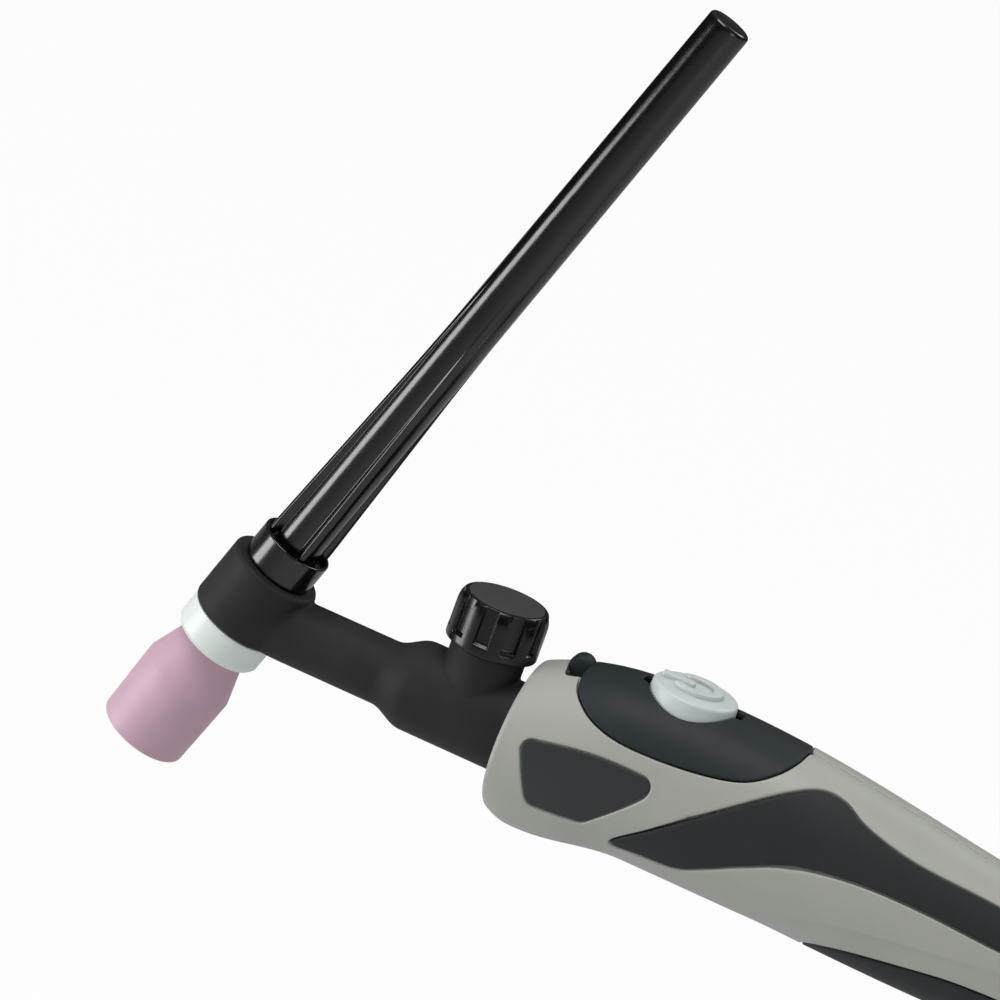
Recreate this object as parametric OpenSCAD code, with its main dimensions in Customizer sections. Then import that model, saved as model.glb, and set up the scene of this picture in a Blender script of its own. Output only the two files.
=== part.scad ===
// TIG welding torch with a gas valve, a long back cap and a push button in its handle.
// Units are millimetres. The X axis is the common axis of the neck, the handle and the
// cable inlet. The origin is the centre of the cable inlet's mouth, the head lies
// towards -X, +Z is up, and the button and the valve knob face +Z.

/* [Layout] */
// Angle between the head's axis and the neck, in degrees
head_angle = 70; // [66:1:74]
// Distance along the neck from the head's axis to the handle's front face
handle_front = 60.3; // [60:0.5:68]
// Distance along the neck from the head's axis to the valve's axis
valve_x = 49.9; // [49:0.1:50.5]
// Length of the handle shells
handle_l = 147; // [140:1:160]

/* [Torch body] */
// Radius of the moulded barrel round the head
barrel_r = 9.8; // [9.2:0.1:10.5]
// Height of the barrel along the head's axis
barrel_h = 14; // [13:0.5:16]
// Height of the neck's axis above the barrel's lower face, along the head's axis
barrel_below = 2.7; // [2.5:0.1:3.2]
// Radius of the moulded neck
neck_r = 6.7; // [6.5:0.1:7.2]
// Radius of the moulded valve body
valve_body_r = 9.1; // [8.8:0.1:9.4]
// Distance from the head's axis to the start of the valve body's shoulder
shoulder_x = 31.5; // [28:0.5:33]
// Length of that shoulder
shoulder_l = 7.5; // [5:0.5:9]
// Radius of the boss under the valve knob
boss_r = 7.65; // [7.2:0.05:8.2]
// Height of the boss's top face above the axis
boss_top = 13.6; // [13.4:0.1:14.4]
// How far the moulded body reaches into the handle
body_depth = 16; // [12:0.5:18]

/* [Head parts] */
// Radius of the brass head core
core_r = 7; // [6.8:0.1:7.5]
// Thread radius of the back cap's stub
cap_thread_r = 4.9; // [4.6:0.1:5.1]
// Thread radius of the collet body's upper end
collet_body_top_r = 3.55; // [3.3:0.05:3.8]
// Thread radius of the collet body below the head, where the gas cup screws on
cup_thread_r = 4.85; // [4.7:0.05:5.1]
// Length of the collet body's nose below its cup thread
nose_l = 9; // [6:0.5:10]
// Radius of the collet's tube
collet_r = 1.95; // [1.85:0.05:2.1]
// Radius of the electrode
electrode_r = 1.2; // [0.8:0.1:1.2]
// Length of the electrode
electrode_l = 175; // [150:1:178]
// How far the electrode stands out of the gas cup
stickout = 2; // [0:0.5:4]
// Length of the electrode's ground point
point_l = 5; // [2:0.5:8]

/* [Gas cup] */
// Largest outer radius of the gas cup, at its shoulder
cup_r = 9.7; // [9.4:0.1:10.2]
// Outer radius at the mouth
cup_mouth_r = 9.4; // [8.8:0.1:10]
// Outer radius of the cup's neck
cup_neck_r = 6.8; // [6.6:0.1:7.1]
// Bore radius at the mouth
cup_bore_r = 6.35; // [6:0.05:7]
// Length of the gas cup
cup_l = 30; // [28:0.5:34]
// Length of the cone from the neck out to the shoulder
cup_flare_l = 9.1; // [7:0.1:10.5]
// Outer radius of the white gasket between cup and head
gasket_r = 9.55; // [9:0.05:10]
// Height of the gasket
gasket_h = 7; // [6.6:0.1:7.6]
// Depth of the cup's neck inside the gasket
cup_seat = 5; // [4:0.1:5.6]

/* [Back cap] */
// Radius of the back cap's collar
cap_collar_r = 7.6; // [7.2:0.1:8.2]
// Height of the collar
cap_collar_h = 6.8; // [6:0.2:9]
// Distance from the collar's lower face to the cap's tip
cap_l = 141.6; // [136:0.2:150]
// Body radius just above the collar
cap_root_r = 4.9; // [4.7:0.1:5.4]
// Body radius at the tip
cap_tip_r = 4.4; // [4.2:0.1:4.9]
// Number of finger ribs on the cap's lower half
cap_ribs = 4; // [3:1:6]
// Reach of a rib from the cap's axis, at the collar
cap_rib_r = 7; // [6.4:0.1:7.1]
// Length of a rib, over which it runs out into the body
cap_rib_l = 66; // [50:2:80]
// Thickness of a rib
cap_rib_t = 1.5; // [1.2:0.1:2]
// Length of the cap's threaded stub
cap_stub_l = 6.2; // [5:0.1:6.4]

/* [Valve] */
// Radius of the knob's plain lower ring
knob_r = 9.4; // [9:0.1:9.9]
// Height of the knob
knob_h = 10.1; // [9.6:0.1:11]
// Number of flutes in the knob's side
knob_flutes = 10; // [8:1:16]
// Radius of the brass valve block
block_r = 5.5; // [5.2:0.1:5.8]
// Radius of the valve stem
stem_r = 2.5; // [2.2:0.1:2.7]
// Radius of the copper gas tube in the neck
gas_tube_r = 1.7; // [1.4:0.1:1.8]
// Radius of the copper water supply tube
water_tube_r = 1.8; // [1.5:0.1:2]
// Radius of the copper tube that carries the power and the returning water
power_tube_r = 2.2; // [2:0.1:2.4]
// Thread radius of the power cable's stud
power_stud_r = 4; // [3.6:0.1:4.3]
// Length of that stud
power_stud_l = 12; // [10:1:16]
// Outer radius of the hose barbs
barb_r = 2.2; // [2:0.1:2.4]

/* [Handle] */
// Radius of the handle's round front
front_r = 15.1; // [14.8:0.1:15.6]
// Height of the crown under the button, above the axis
crown_z = 21.7; // [21:0.1:22.4]
// Distance from the front to the crown
crown_s = 36; // [34:0.5:40]
// Depth of the finger lip below the axis
lip_z = 17.4; // [16.8:0.1:18.4]
// Distance from the front to the finger lip
lip_s = 6; // [5:0.5:8]
// Length over which the lip runs out behind
lip_run = 24; // [18:1:30]
// Depth of the underside behind the lip
belly_z = 13.9; // [13.5:0.1:14.6]
// How much deeper the heel of the hand rests, towards the rear
heel_z = 0.7; // [0:0.1:1.2]
// Half of the largest width
grip_half_w = 15.6; // [15.2:0.1:16.4]
// Radius of the round rear end
rear_r = 12.7; // [12.5:0.1:13.6]
// Length of the straight round rear end
rear_l = 17; // [14:1:22]
// How far the side bulges towards a square section, 0 for an ellipse
squareness = 0.3; // [0:0.05:0.5]
// Wall of the shells
wall = 2.6; // [2.4:0.1:2.8]
// Thickness of the front wall
front_wall = 3; // [2.5:0.1:3.4]

/* [Inlays] */
// Thickness of the dark side grips
side_grip_t = 1.2; // [1:0.1:1.4]
// Thickness of the dark grip on the underside
under_grip_t = 1.2; // [1:0.1:1.4]
// Thickness of the blank badges
badge_t = 0.8; // [0.6:0.1:1.2]
// Thickness of the switch panel
panel_t = 1.6; // [1.4:0.1:1.8]
// Width of the groove round each inlay
groove = 0.3; // [0.2:0.05:0.5]

/* [Button] */
// Distance from the handle's front to the button's axis
button_s = 30.6; // [30:0.1:33]
// Radius of the button
button_r = 8.8; // [8.5:0.1:9.2]
// Height of the button's top above the axis
button_top = 23.8; // [23.5:0.1:24.6]
// Travel of the button
button_travel = 1.5; // [1:0.1:1.6]
// Radius of the spring's wire
spring_wire_r = 0.35; // [0.25:0.05:0.4]
// Number of the spring's turns
spring_turns = 5; // [4:1:6]
// Length of the microswitch
switch_l = 12.8; // [12:0.2:13.4]
// Width of the microswitch
switch_w = 5.8; // [5.4:0.1:6.4]
// Height of the microswitch
switch_h = 6.45; // [5.8:0.05:6.6]

/* [Cable inlet] */
// Radius of the cable inlet's bore
inlet_r = 8.5; // [7.6:0.1:8.8]
// Depth of the inlet collar inside the shells
collar_depth = 12; // [10:0.5:13]
// Thickness of the collar's outer flange
collar_flange_t = 2; // [1.5:0.1:3]

/* [Hidden] */

$fn = 48;
// Overlap of a cutting shape past the face that it cuts
past = 1;
// Radial clearance of a screwed or turning fit
fit = 0.08;
// Gap behind an inlay and beside the switch parts
seat = 0.1;
// Gap between a piece that turns and the face under it
turn_gap = 0.3;

reach = handle_front + handle_l + collar_flange_t;
rubber_black = "#1c1d1e";
gloss_black = "#101112";
shell_grey = "#a5a6a4";
inlay_dark = "#2c343a";
brass = "#b5954e";
copper = "#b8703f";

// ---- Frames -------------------------------------------------------------------
// The X axis measured from the head's axis
module at_neck() translate([-reach, 0, 0]) children();
// The head's own frame: its +Z runs up the back cap, its origin is on the neck's axis
module at_head() at_neck() rotate([0, 90 - head_angle, 0]) children();
// The X axis measured from the handle's front
module at_handle() translate([handle_front - reach, 0, 0]) children();
module at_valve() at_neck() translate([valve_x, 0, 0]) children();
module at_button() at_handle() translate([button_s, 0, 0]) children();
// Lays a shape that stands along +Z along +X, at a place beside the axis
module along_x(y = 0, z = 0) translate([0, y, z]) rotate([0, 90, 0]) children();

// ---- Small helpers ------------------------------------------------------------
module rod(r, from, to) translate([0, 0, from]) cylinder(h = to - from, r = r);
module ring(r_out, r_in, from, to) {
    difference() {
        rod(r_out, from, to);
        rod(r_in, from - past, to + past);
    }
}
module cone(r_from, r_to, from, to)
    translate([0, 0, from]) cylinder(h = to - from, r1 = r_from, r2 = r_to);
module torus(major, minor) rotate_extrude() translate([major, 0]) circle(minor);
// 0 to 1 with level ends
function ease(t) = 0.5 - 0.5 * cos(180 * min(1, max(0, t)));

// ---- The handle's outer form --------------------------------------------------
waist_s = handle_l - rear_l;
// Distance from the front at which the underside starts to rise to the rear end
belly_end = 100;
// Length over which the width and the squareness build up behind the front
shoulder_run = 20;
// How quickly the top rises behind the front
brow_power = 3;

function top_z(s) = s < crown_s
    ? crown_z - (crown_z - front_r) * pow(1 - s / crown_s, brow_power)
    : crown_z - (crown_z - rear_r) * ease((s - crown_s) / (waist_s - crown_s));
function lip(s) = s < lip_s
    ? front_r + (lip_z - front_r) * (1 - pow(1 - s / lip_s, 2))
    : belly_z + (lip_z - belly_z) * (1 - ease((s - lip_s) / lip_run)) + heel_z * ease((s - 50) / 40);
function bottom_z(s) = -(s < belly_end ? lip(s)
    : rear_r + (belly_z + heel_z - rear_r) * (1 - ease((s - belly_end) / (waist_s - belly_end))));
function half_w(s) = s < shoulder_run
    ? front_r + (grip_half_w - front_r) * ease(s / shoulder_run)
    : grip_half_w - (grip_half_w - rear_r) * ease((s - 55) / (waist_s - 55));
function power(s) = 2 + squareness * ease(s / shoulder_run)
    * (1 - ease((s - belly_end) / (waist_s - belly_end)));
function mid_z(s) = (top_z(s) + bottom_z(s)) / 2;
function half_h(s) = (top_z(s) - bottom_z(s)) / 2;
function sign_pow(v, e) = sign(v) * pow(abs(v), e);

// Number of points round half of a section
half_points = 16;
// Places of the sections: close together at the rounded front edge and the finger lip
sections = concat([0, 0.35, 1, 2.2, 4, 6, 8.5], [for (i = [1:7]) 8.5 + i * (crown_s - 8.5) / 7],
    [for (i = [1:11]) crown_s + i * (waist_s - crown_s) / 11], [handle_l]);
// How far the outer edge at the front is rounded back at a section
function edge_round(s) = 1 - sqrt(1 - pow(1 - min(1, s), 2));

// A point of a section at an angle from the crown: 90 is the near side, -90 the far side
function skin_point(s, inset, a) = let(e = 2 / power(s))
    [s, -(half_w(s) - inset) * sign_pow(sin(a), e), mid_z(s) + (half_h(s) - inset) * sign_pow(cos(a), e)];
function places(from, to) = concat([from], [for (s = sections) if (s > from + 0.3 && s < to - 0.3) s], [to]);
// Triangles of the sides between rings of n points
function ring_sides(rings, n) = [for (r = [0:rings - 2], i = [0:n - 1])
    let(a = r * n + i, b = r * n + (i + 1) % n) each [[a, b + n, b], [a, a + n, b + n]]];

// Curved plate between two depths under the handle's surface, from one place to another and
// from one angle to another, with a rounded front edge of radius 1 where round is 1
module plate(outer, inner, from, to, angle_from, angle_to, round = 0) {
    steps = round_steps(angle_to - angle_from);
    angles = [for (i = [0:steps]) angle_from + (angle_to - angle_from) * i / steps];
    spots = places(from, to);
    n = 2 * (steps + 1);
    points = [for (s = spots) each concat(
        [for (a = angles) skin_point(s, outer + round * edge_round(s), a)],
        [for (i = [steps:-1:0]) skin_point(s, inner, angles[i])])];
    last = (len(spots) - 1) * n;
    front = [for (i = [0:steps - 1]) each [[i, i + 1, n - 1 - i], [i + 1, n - 2 - i, n - 1 - i]]];
    back = [for (f = front) [for (k = [2:-1:0]) last + f[k]]];
    polyhedron(points, concat(ring_sides(len(spots), n), front, back), convexity = 6);
}
function round_steps(angle) = ceil(half_points * angle / 180);
// Near half of the handle's form, drawn in by inset, that reaches past the middle plane
module near_core(inset, from, to) {
    spots = places(from, to);
    n = half_points + 1;
    points = [for (s = spots, i = [0:half_points]) let(p = skin_point(s, inset, 180 * i / half_points))
        [p[0], i == 0 || i == half_points ? past : p[1], p[2]]];
    front = [for (i = [0:n - 1]) i];
    back = [for (i = [n - 1:-1:0]) (len(spots) - 1) * n + i];
    polyhedron(points, concat(ring_sides(len(spots), n), [front, back]), convexity = 6);
}
// A side-view outline of position and height, drawn from the middle plane to the near side,
// or through both sides
module near_prism(grow = 0)
    rotate([90, 0, 0]) linear_extrude(30) offset(delta = grow) children();
module full_prism(grow = 0)
    rotate([90, 0, 0]) linear_extrude(60, center = true) offset(delta = grow) children();
module far_side() mirror([0, 1, 0]) children();

// ---- Outlines of the inlays, as position from the front and height -------------
function curve(p, q, r, s, t) = 0.5 * (2 * q + (r - p) * t + (2 * p - 5 * q + 4 * r - s) * t * t
    + (3 * q - p - 3 * r + s) * t * t * t);
// Smooth closed line through points
function smooth_loop(p, steps) = let(n = len(p)) [for (i = [0:n - 1], k = [0:steps - 1])
    curve(p[(i + n - 1) % n], p[i], p[(i + 1) % n], p[(i + 2) % n], k / steps)];
// Smooth open line through points
function smooth_line(p, steps) = let(n = len(p)) concat([for (i = [0:n - 2], k = [0:steps - 1])
    curve(p[max(i - 1, 0)], p[i], p[i + 1], p[min(i + 2, n - 1)], k / steps)], [p[n - 1]]);

side_grip_points = [[27.4, -8.4], [34.3, -1.9], [42.3, 5], [50, 11.3], [56, 15.5], [61, 17.6],
    [66, 17.3], [72, 14.9], [83, 12.5], [100, 11], [117, 8.6], [128, 5.6], [120, 3.8], [103, 4.4],
    [87, 5.6], [74, 5.6], [62, 3.6], [52.7, -0.8], [46, -4.8], [41, -7.5], [34, -8.3]];
under_grip_points = [[68, -12.5], [71.5, -10.8], [78, -8.9], [88, -7], [98, -5.6], [110, -5.4],
    [119, -7], [124, -10.5], [125, -14]];
panel_points = [[9.7, 18], [11.2, 15.8], [16.5, 13], [24, 11.7], [36, 12.2], [46.6, 14.2],
    [52.8, 18], [56.1, 22]];
// Corner centres of the badge and the radius of its corners
badge_points = [[7.4, 3], [29.2, 5.5], [20, -4.6], [11, -5.5]];
badge_corner_r = 2.1;
// A height above everything on the handle and one below
above = 40;
below = -30;

// The grips' outlines are drawn for this distance between crown and waist, and follow it
drawn_run = 94;
function following(p) = [for (q = p) [q[0] < crown_s ? q[0]
    : crown_s + (q[0] - crown_s) * (waist_s - crown_s) / drawn_run, q[1]]];
function first_of(p) = p[0];
function last_of(p) = p[len(p) - 1];
// An open line of points closed by going out to a height beyond the handle
function closed_at(p, height) = concat(smooth_line(p, 3), [[last_of(p)[0], height], [first_of(p)[0], height]]);
side_grip_line = following(side_grip_points);
under_grip_line = following(under_grip_points);

module side_grip_outline() polygon(smooth_loop(side_grip_line, 3));
module under_grip_outline() polygon(closed_at(under_grip_line, below));
module panel_outline() polygon(closed_at(panel_points, above));
module badge_outline() {
    hull() {
        for (p = badge_points)
            translate(p) circle(badge_corner_r, $fn = 24);
    }
}

// ---- Heights and places of the switch parts, above the axis --------------------
// Level of the guide ring's lower end, on which the switch housing is clipped
guide_bottom = 14.5;
guide_depth = 12;
guide_r = button_r + 2.5;
well_r = button_r + turn_gap;
lug_r = button_r + 1.4;
lug_w = 8;
lug_slot_w = 4;
lug_top = guide_bottom + 2.1;
lug_bottom = lug_top - 1.2;
housing_floor = lug_bottom - button_travel - 2 * seat;
floor_t = 1;
switch_top = housing_floor - floor_t;
housing_r = guide_r - 0.3;
button_ceiling = button_top - 2.4;
button_wall = 1.3;
button_round = 0.9;
pusher_r = 1.6;
pusher_end = lug_bottom;
plunger_r = 0.9;
plunger_depth = 4;
terminal_pitch = 4.6;
terminal_l = 3.2;
terminal_w = 3.2;
terminal_t = 0.6;
spring_r = 3.2;
// The dark cross bar in front of the switch panel, which keeps a lanyard from slipping off
nub_s = 7.9;
nub_r = 2.3;
nub_z = 17.7;
nub_half_w = 2.3;
nub_foot = 15.2;
bridge_w = 3;
bridge_l = 4;
bridge_t = 3;

// ---- Handle screws: place from the front and height -----------------------------
rear_screw_in = 3.6;
rear_screw_z = rear_r - rear_screw_in;
front_screw_s = 11;
front_screw_up = 1.4;
middle_screw_s = 50;
middle_screw_up = 4.4;
rear_screw_l = 20;
screw_places = [[front_screw_s, front_screw_up - belly_z], [middle_screw_s, middle_screw_up - belly_z],
    [handle_l - rear_screw_l, -rear_screw_z], [handle_l - rear_screw_l, rear_screw_z]];
screw_head_r = 2.7;
screw_head_t = 1.9;
screw_hole_r = 1.55;
screw_r = 1.25;
screw_head_y = 4;
screw_tip_y = -7;
slot_w = 0.7;
near_boss_r = 2.9;
far_boss_r = 3.5;

// ---- Body flange that the shells trap -------------------------------------------
flange_r = 10.6;
flange_t = 3;
flange_end = front_wall + flange_t + 2 * seat;
rib_t = 2;
// Ring on the inlet collar that sits in a groove of the shells
bead_r = 10.9;
bead_t = 2;
bead_in = 9;
collar_r = rear_r - wall - seat;

// ---- Tubes, as places beside the neck's axis ------------------------------------
gas_z = 3.9;
gas_rear_r = 1.5;
line_z = -2.3;
power_y = 3;
water_y = -3.2;
// Where the tubes enter the head core and leave the moulded body
tube_start = 5.5;
gas_tube_start = tube_start + 2.1;
body_end = handle_front + body_depth;
barb_l = 5.6;
barb_step = 0.4;
ferrule_wall = 0.8;
tube_wall = 0.5;
// How deep the tubes sit in the block, the barbs and the power fitting
block_socket = 2;
barb_socket = 2.5;
power_socket = 4;
barb_start = body_end + barb_socket + 0.5;
power_hex_r = 4.8;
power_hex_l = 5;
power_hex_start = body_end + 10;

// ---- Levels along the head's axis ------------------------------------------------
barrel_bottom = -barrel_below;
barrel_top = barrel_h - barrel_below;
gasket_top = barrel_bottom - seat / 2;
gasket_bottom = barrel_bottom - gasket_h;
gasket_bevel = 1.3;
cup_top = gasket_bottom + cup_seat;
cup_mouth = cup_top - cup_l;
cup_edge = 0.4;
collet_seat = 3;
core_top = barrel_top - 0.5;
oring_minor = 0.8;
oring_major = cap_thread_r + oring_minor + seat;
oring_level = core_top - 0.6;
cap_bottom = barrel_top + seat;
cap_top = cap_bottom + cap_l;
stub_end = cap_bottom - cap_stub_l;
cap_bore_r = electrode_r + 0.5;
cap_tip_wall = 3;
cap_tip_edge = 0.8;
collar_top = cap_bottom + cap_collar_h;
cap_body_top = cap_top - cap_tip_edge;
rib_angle = -58;
collar_edge = 0.4;
// Recess in the collar's upper face, round the body
recess_r = 6.9;
recess_depth = 1;
dish_r = 20;
dish_depth = 0.3;
nose_r = 3.4;
nose_bevel = 0.6;
collet_slot = 0.5;
cup_thread_end = cup_top - 8.5;
nose_end = cup_thread_end - nose_l;
electrode_tip = cup_mouth - stickout;
collet_tip = nose_end + 2.6;

// ---- Levels along the valve's axis ------------------------------------------------
block_bottom = 1.1;
block_top = boss_top - 0.6;
seat_level = 7;
gas_way_r = 0.8;
shaft_r = stem_r - 0.5;
knob_screw_r = 1.2;
gland_r = 4.6;
gland_top = block_top + 2.4;
knob_bottom = boss_top + turn_gap;
knob_top = knob_bottom + knob_h;
stem_top = knob_top - 2.5;
knob_recess_r = 6.2;
knob_floor = gland_top + 0.6;
knob_face_r = knob_r - 1.1;
knob_ring_h = 2;
// The grip's upper edge turns in over this height, and its slots are cut this wide and this deep
knob_turn_h = 3.2;
slot_r = 1.75;
slot_depth = 0.85;
disc_r = knob_face_r - 0.5;
disc_t = 1;
disc_seat = knob_top - disc_t;
screw_cap_r = 2.5;
stem_oring_level = 10.5;
stem_oring_minor = 0.42;

// ==== Handle ======================================================================
// Each inlay is a layer of the handle's skin inside its outline: its places and angles
function span(p, from, to) = let(s = [for (q = p) q[0]]) [min(s) - 2, max(s) + 2, from, to];
side_span = span(side_grip_line, 15, 175);
badge_span = span(badge_points, 30, 150) + [-badge_corner_r, badge_corner_r, 0, 0];
under_span = span(under_grip_line, 80, 280);
panel_span = span(panel_points, -100, 100);
module layer(span, outer, inner) plate(outer, inner, span[0], span[1], span[2], span[3]);
// One shell with everything that both halves share, y below 0
module shell_form(boss_r) {
    difference() {
        union() {
            plate(0, wall, 0, handle_l, 0, 180, 1);
            intersection() {
                near_core(wall / 2, -past, handle_l + past);
                for (p = screw_places)
                    translate([p[0], 0, p[1]]) rotate([90, 0, 0]) cylinder(h = 20, r = boss_r);
            }
            intersection() {
                union() {
                    // Front wall, the rib behind the body's flange and a pad round the inlet collar
                    along_x() rod(front_r - wall / 2, 0, front_wall);
                    along_x() rod(front_r - wall / 2, flange_end, flange_end + rib_t);
                    along_x() rod(rear_r - wall / 2, handle_l - collar_depth, handle_l);
                }
                translate([-past, -above, -above]) cube([handle_l + 2 * past, above, 2 * above]);
            }
        }
        // Seat of the torch body and its flange
        along_x() rod(valve_body_r + seat, -past, body_depth);
        along_x() rod(flange_r + seat, front_wall, flange_end);
        // Seat of the inlet collar and its bead
        along_x() rod(collar_r + seat, handle_l - collar_depth - past, handle_l + past);
        along_x() rod(bead_r + seat, handle_l - bead_in - seat, handle_l - bead_in + bead_t + seat);
        // Pockets of the inlays
        intersection() {
            layer(side_span, -2, side_grip_t);
            near_prism(groove) side_grip_outline();
        }
        intersection() {
            layer(badge_span, -2, badge_t);
            near_prism(groove) badge_outline();
        }
        intersection() {
            layer(under_span, -2, under_grip_t);
            full_prism(groove) under_grip_outline();
        }
        intersection() {
            layer(panel_span, -2, panel_t);
            full_prism(groove) panel_outline();
        }
        // Well for the switch housing and the guide ring
        translate([button_s, 0, 0]) rod(guide_r + turn_gap, switch_top - 1.2, above);
        // Notch for the cross bar and its bridge
        translate([nub_s - nub_r - groove, -nub_half_w - groove, nub_foot - seat])
            cube([2 * (nub_r + groove), 2 * (nub_half_w + groove), above]);
        translate([nub_s, -bridge_w / 2 - groove, nub_foot + seat])
            cube([bridge_l + 2, bridge_w + 2 * groove, above]);
    }
}
module handle_shell_left() color(shell_grey) at_handle() difference() {
    shell_form(near_boss_r);
    for (p = screw_places) translate([p[0], 0, p[1]]) rotate([90, 0, 0])
        rod(screw_r + fit, -past, turn_gap - screw_tip_y);
}
module handle_shell_right() color(shell_grey) at_handle() difference() {
    far_side() shell_form(far_boss_r);
    for (p = screw_places) translate([p[0], 0, p[1]]) rotate([-90, 0, 0]) {
        rod(screw_hole_r, -past, screw_head_y + past);
        rod(screw_head_r + turn_gap, screw_head_y, 20);
    }
}
module side_grip() intersection() {
    layer(side_span, 0, side_grip_t - seat);
    near_prism() side_grip_outline();
}
module side_grip_left() color(inlay_dark) at_handle() side_grip();
module side_grip_right() color(inlay_dark) at_handle() far_side() side_grip();
module badge() intersection() {
    layer(badge_span, 0, badge_t - seat);
    near_prism() badge_outline();
}
module badge_left() color(inlay_dark) at_handle() badge();
module badge_right() color(inlay_dark) at_handle() far_side() badge();
module underside_grip() color(inlay_dark) at_handle() intersection() {
    layer(under_span, 0, under_grip_t - seat);
    full_prism() under_grip_outline();
}
module handle_screws() color("silver") at_handle() {
    for (p = screw_places) translate([p[0], 0, p[1]]) rotate([-90, 0, 0]) {
        difference() {
            rod(screw_head_r, screw_head_y, screw_head_y + screw_head_t);
            // Cross recess
            for (a = [0, 90]) rotate(a)
                translate([-screw_head_r * 0.75, -slot_w / 2, screw_head_y + screw_head_t / 2])
                    cube([screw_head_r * 1.5, slot_w, screw_head_t]);
        }
        rod(screw_r, screw_tip_y, screw_head_y);
    }
}
module cable_inlet_collar() color(inlay_dark) at_handle() along_x() difference() {
    union() {
        rod(collar_r, handle_l - collar_depth, handle_l + collar_flange_t / 2);
        rod(bead_r, handle_l - bead_in, handle_l - bead_in + bead_t);
        rod(rear_r, handle_l, handle_l + collar_flange_t / 2);
        cone(rear_r, rear_r - collar_flange_t / 2, handle_l + collar_flange_t / 2, handle_l + collar_flange_t);
    }
    rod(inlet_r, handle_l - collar_depth - past, handle_l + collar_flange_t + past);
}

// ==== Switch ======================================================================
module switch_panel() color(inlay_dark) at_handle() difference() {
    union() {
        intersection() {
            layer(panel_span, 0, panel_t - seat);
            full_prism() panel_outline();
        }
        // Guide ring under the panel
        intersection() {
            plate(0.4, guide_depth, button_s - guide_r - past, button_s + guide_r + past, -100, 100);
            translate([button_s, 0, 0]) rod(guide_r, guide_bottom, above);
        }
        translate([nub_s, 0, nub_z]) rotate([90, 0, 0]) rod(nub_r, -nub_half_w, nub_half_w);
        translate([nub_s - nub_r / 2, -nub_half_w + past, nub_foot]) cube([nub_r, 2 * (nub_half_w - past), nub_r]);
        translate([nub_s, -bridge_w / 2, nub_foot + 2 * seat]) cube([bridge_l, bridge_w, bridge_t]);
    }
    translate([button_s, 0, 0]) rod(well_r, 0, above);
    // Pockets for the button's two lugs, open at the top as slots
    translate([button_s - lug_r - seat, -lug_w / 2 - seat, 0])
        cube([2 * (lug_r + seat), lug_w + 2 * seat, lug_top + seat]);
    translate([button_s - lug_r, -lug_slot_w / 2, 0]) cube([2 * lug_r, lug_slot_w, above]);
}
module switch_housing() color("#3a3f44") at_button() difference() {
    union() {
        rod(housing_r, switch_top, guide_bottom);
        translate([-switch_l / 2 - floor_t, -switch_w / 2 - floor_t, switch_top - switch_h])
            cube([switch_l + 2 * floor_t, switch_w + 2 * floor_t, switch_h + floor_t]);
    }
    rod(lug_r + 2 * seat, housing_floor, above);
    translate([-(switch_l + seat) / 2, -(switch_w + seat) / 2, 0])
        cube([switch_l + seat, switch_w + seat, switch_top]);
    rod(plunger_r + 0.3, 0, above);
}
module microswitch() color("#23272a") at_button() difference() {
    translate([-switch_l / 2, -switch_w / 2, switch_top - switch_h]) cube([switch_l, switch_w, switch_h]);
    rod(plunger_r + seat, switch_top - plunger_depth, above);
}
module microswitch_terminals() color("silver") at_button() {
    for (i = [-1:1])
        translate([i * terminal_pitch - terminal_t / 2, -terminal_w / 2, switch_top - switch_h - terminal_l])
            cube([terminal_t, terminal_w, terminal_l]);
}
module trigger_button() color("#bfc4c4") at_button() {
    rotate_extrude() polygon(concat([[0, pusher_end], [pusher_r, pusher_end], [pusher_r, button_ceiling],
        [button_r - button_wall, button_ceiling], [button_r - button_wall, lug_bottom], [button_r, lug_bottom]],
        [for (a = [0:15:90])
            [button_r - button_round * (1 - cos(a)), button_top - button_round * (1 - sin(a))]],
        [[0, button_top]]));
    intersection() {
        ring(lug_r, button_r - 0.6, lug_bottom, lug_top);
        translate([-lug_r, -lug_w / 2, lug_bottom]) cube([2 * lug_r, lug_w, lug_top - lug_bottom]);
    }
}
module microswitch_plunger() color("#8d2f2a") at_button()
    rod(plunger_r, switch_top - plunger_depth + button_travel + seat, pusher_end);
// One unbroken helix with a level ring's worth of wire at each end
module button_spring() color("silver") at_button() {
    steps = 12;
    rings = spring_turns * steps;
    low = housing_floor + spring_wire_r + seat;
    high = button_ceiling - spring_wire_r - seat;
    sides = 6;
    points = [for (i = [0:rings], k = [0:sides - 1])
        let(a = 360 * i / steps, b = 360 * k / sides, r = spring_r + spring_wire_r * cos(b))
        [r * cos(a), r * sin(a), low + (high - low) * ease(i / rings) + spring_wire_r * sin(b)]];
    skin = [for (i = [0:rings - 1], k = [0:sides - 1])
        let(p = i * sides + k, q = i * sides + (k + 1) % sides)
        each [[p, q, q + sides], [p, q + sides, p + sides]]];
    ends = [[for (k = [sides - 1:-1:0]) k], [for (k = [0:sides - 1]) rings * sides + k]];
    polyhedron(points, concat(skin, ends), convexity = 10);
}

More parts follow.
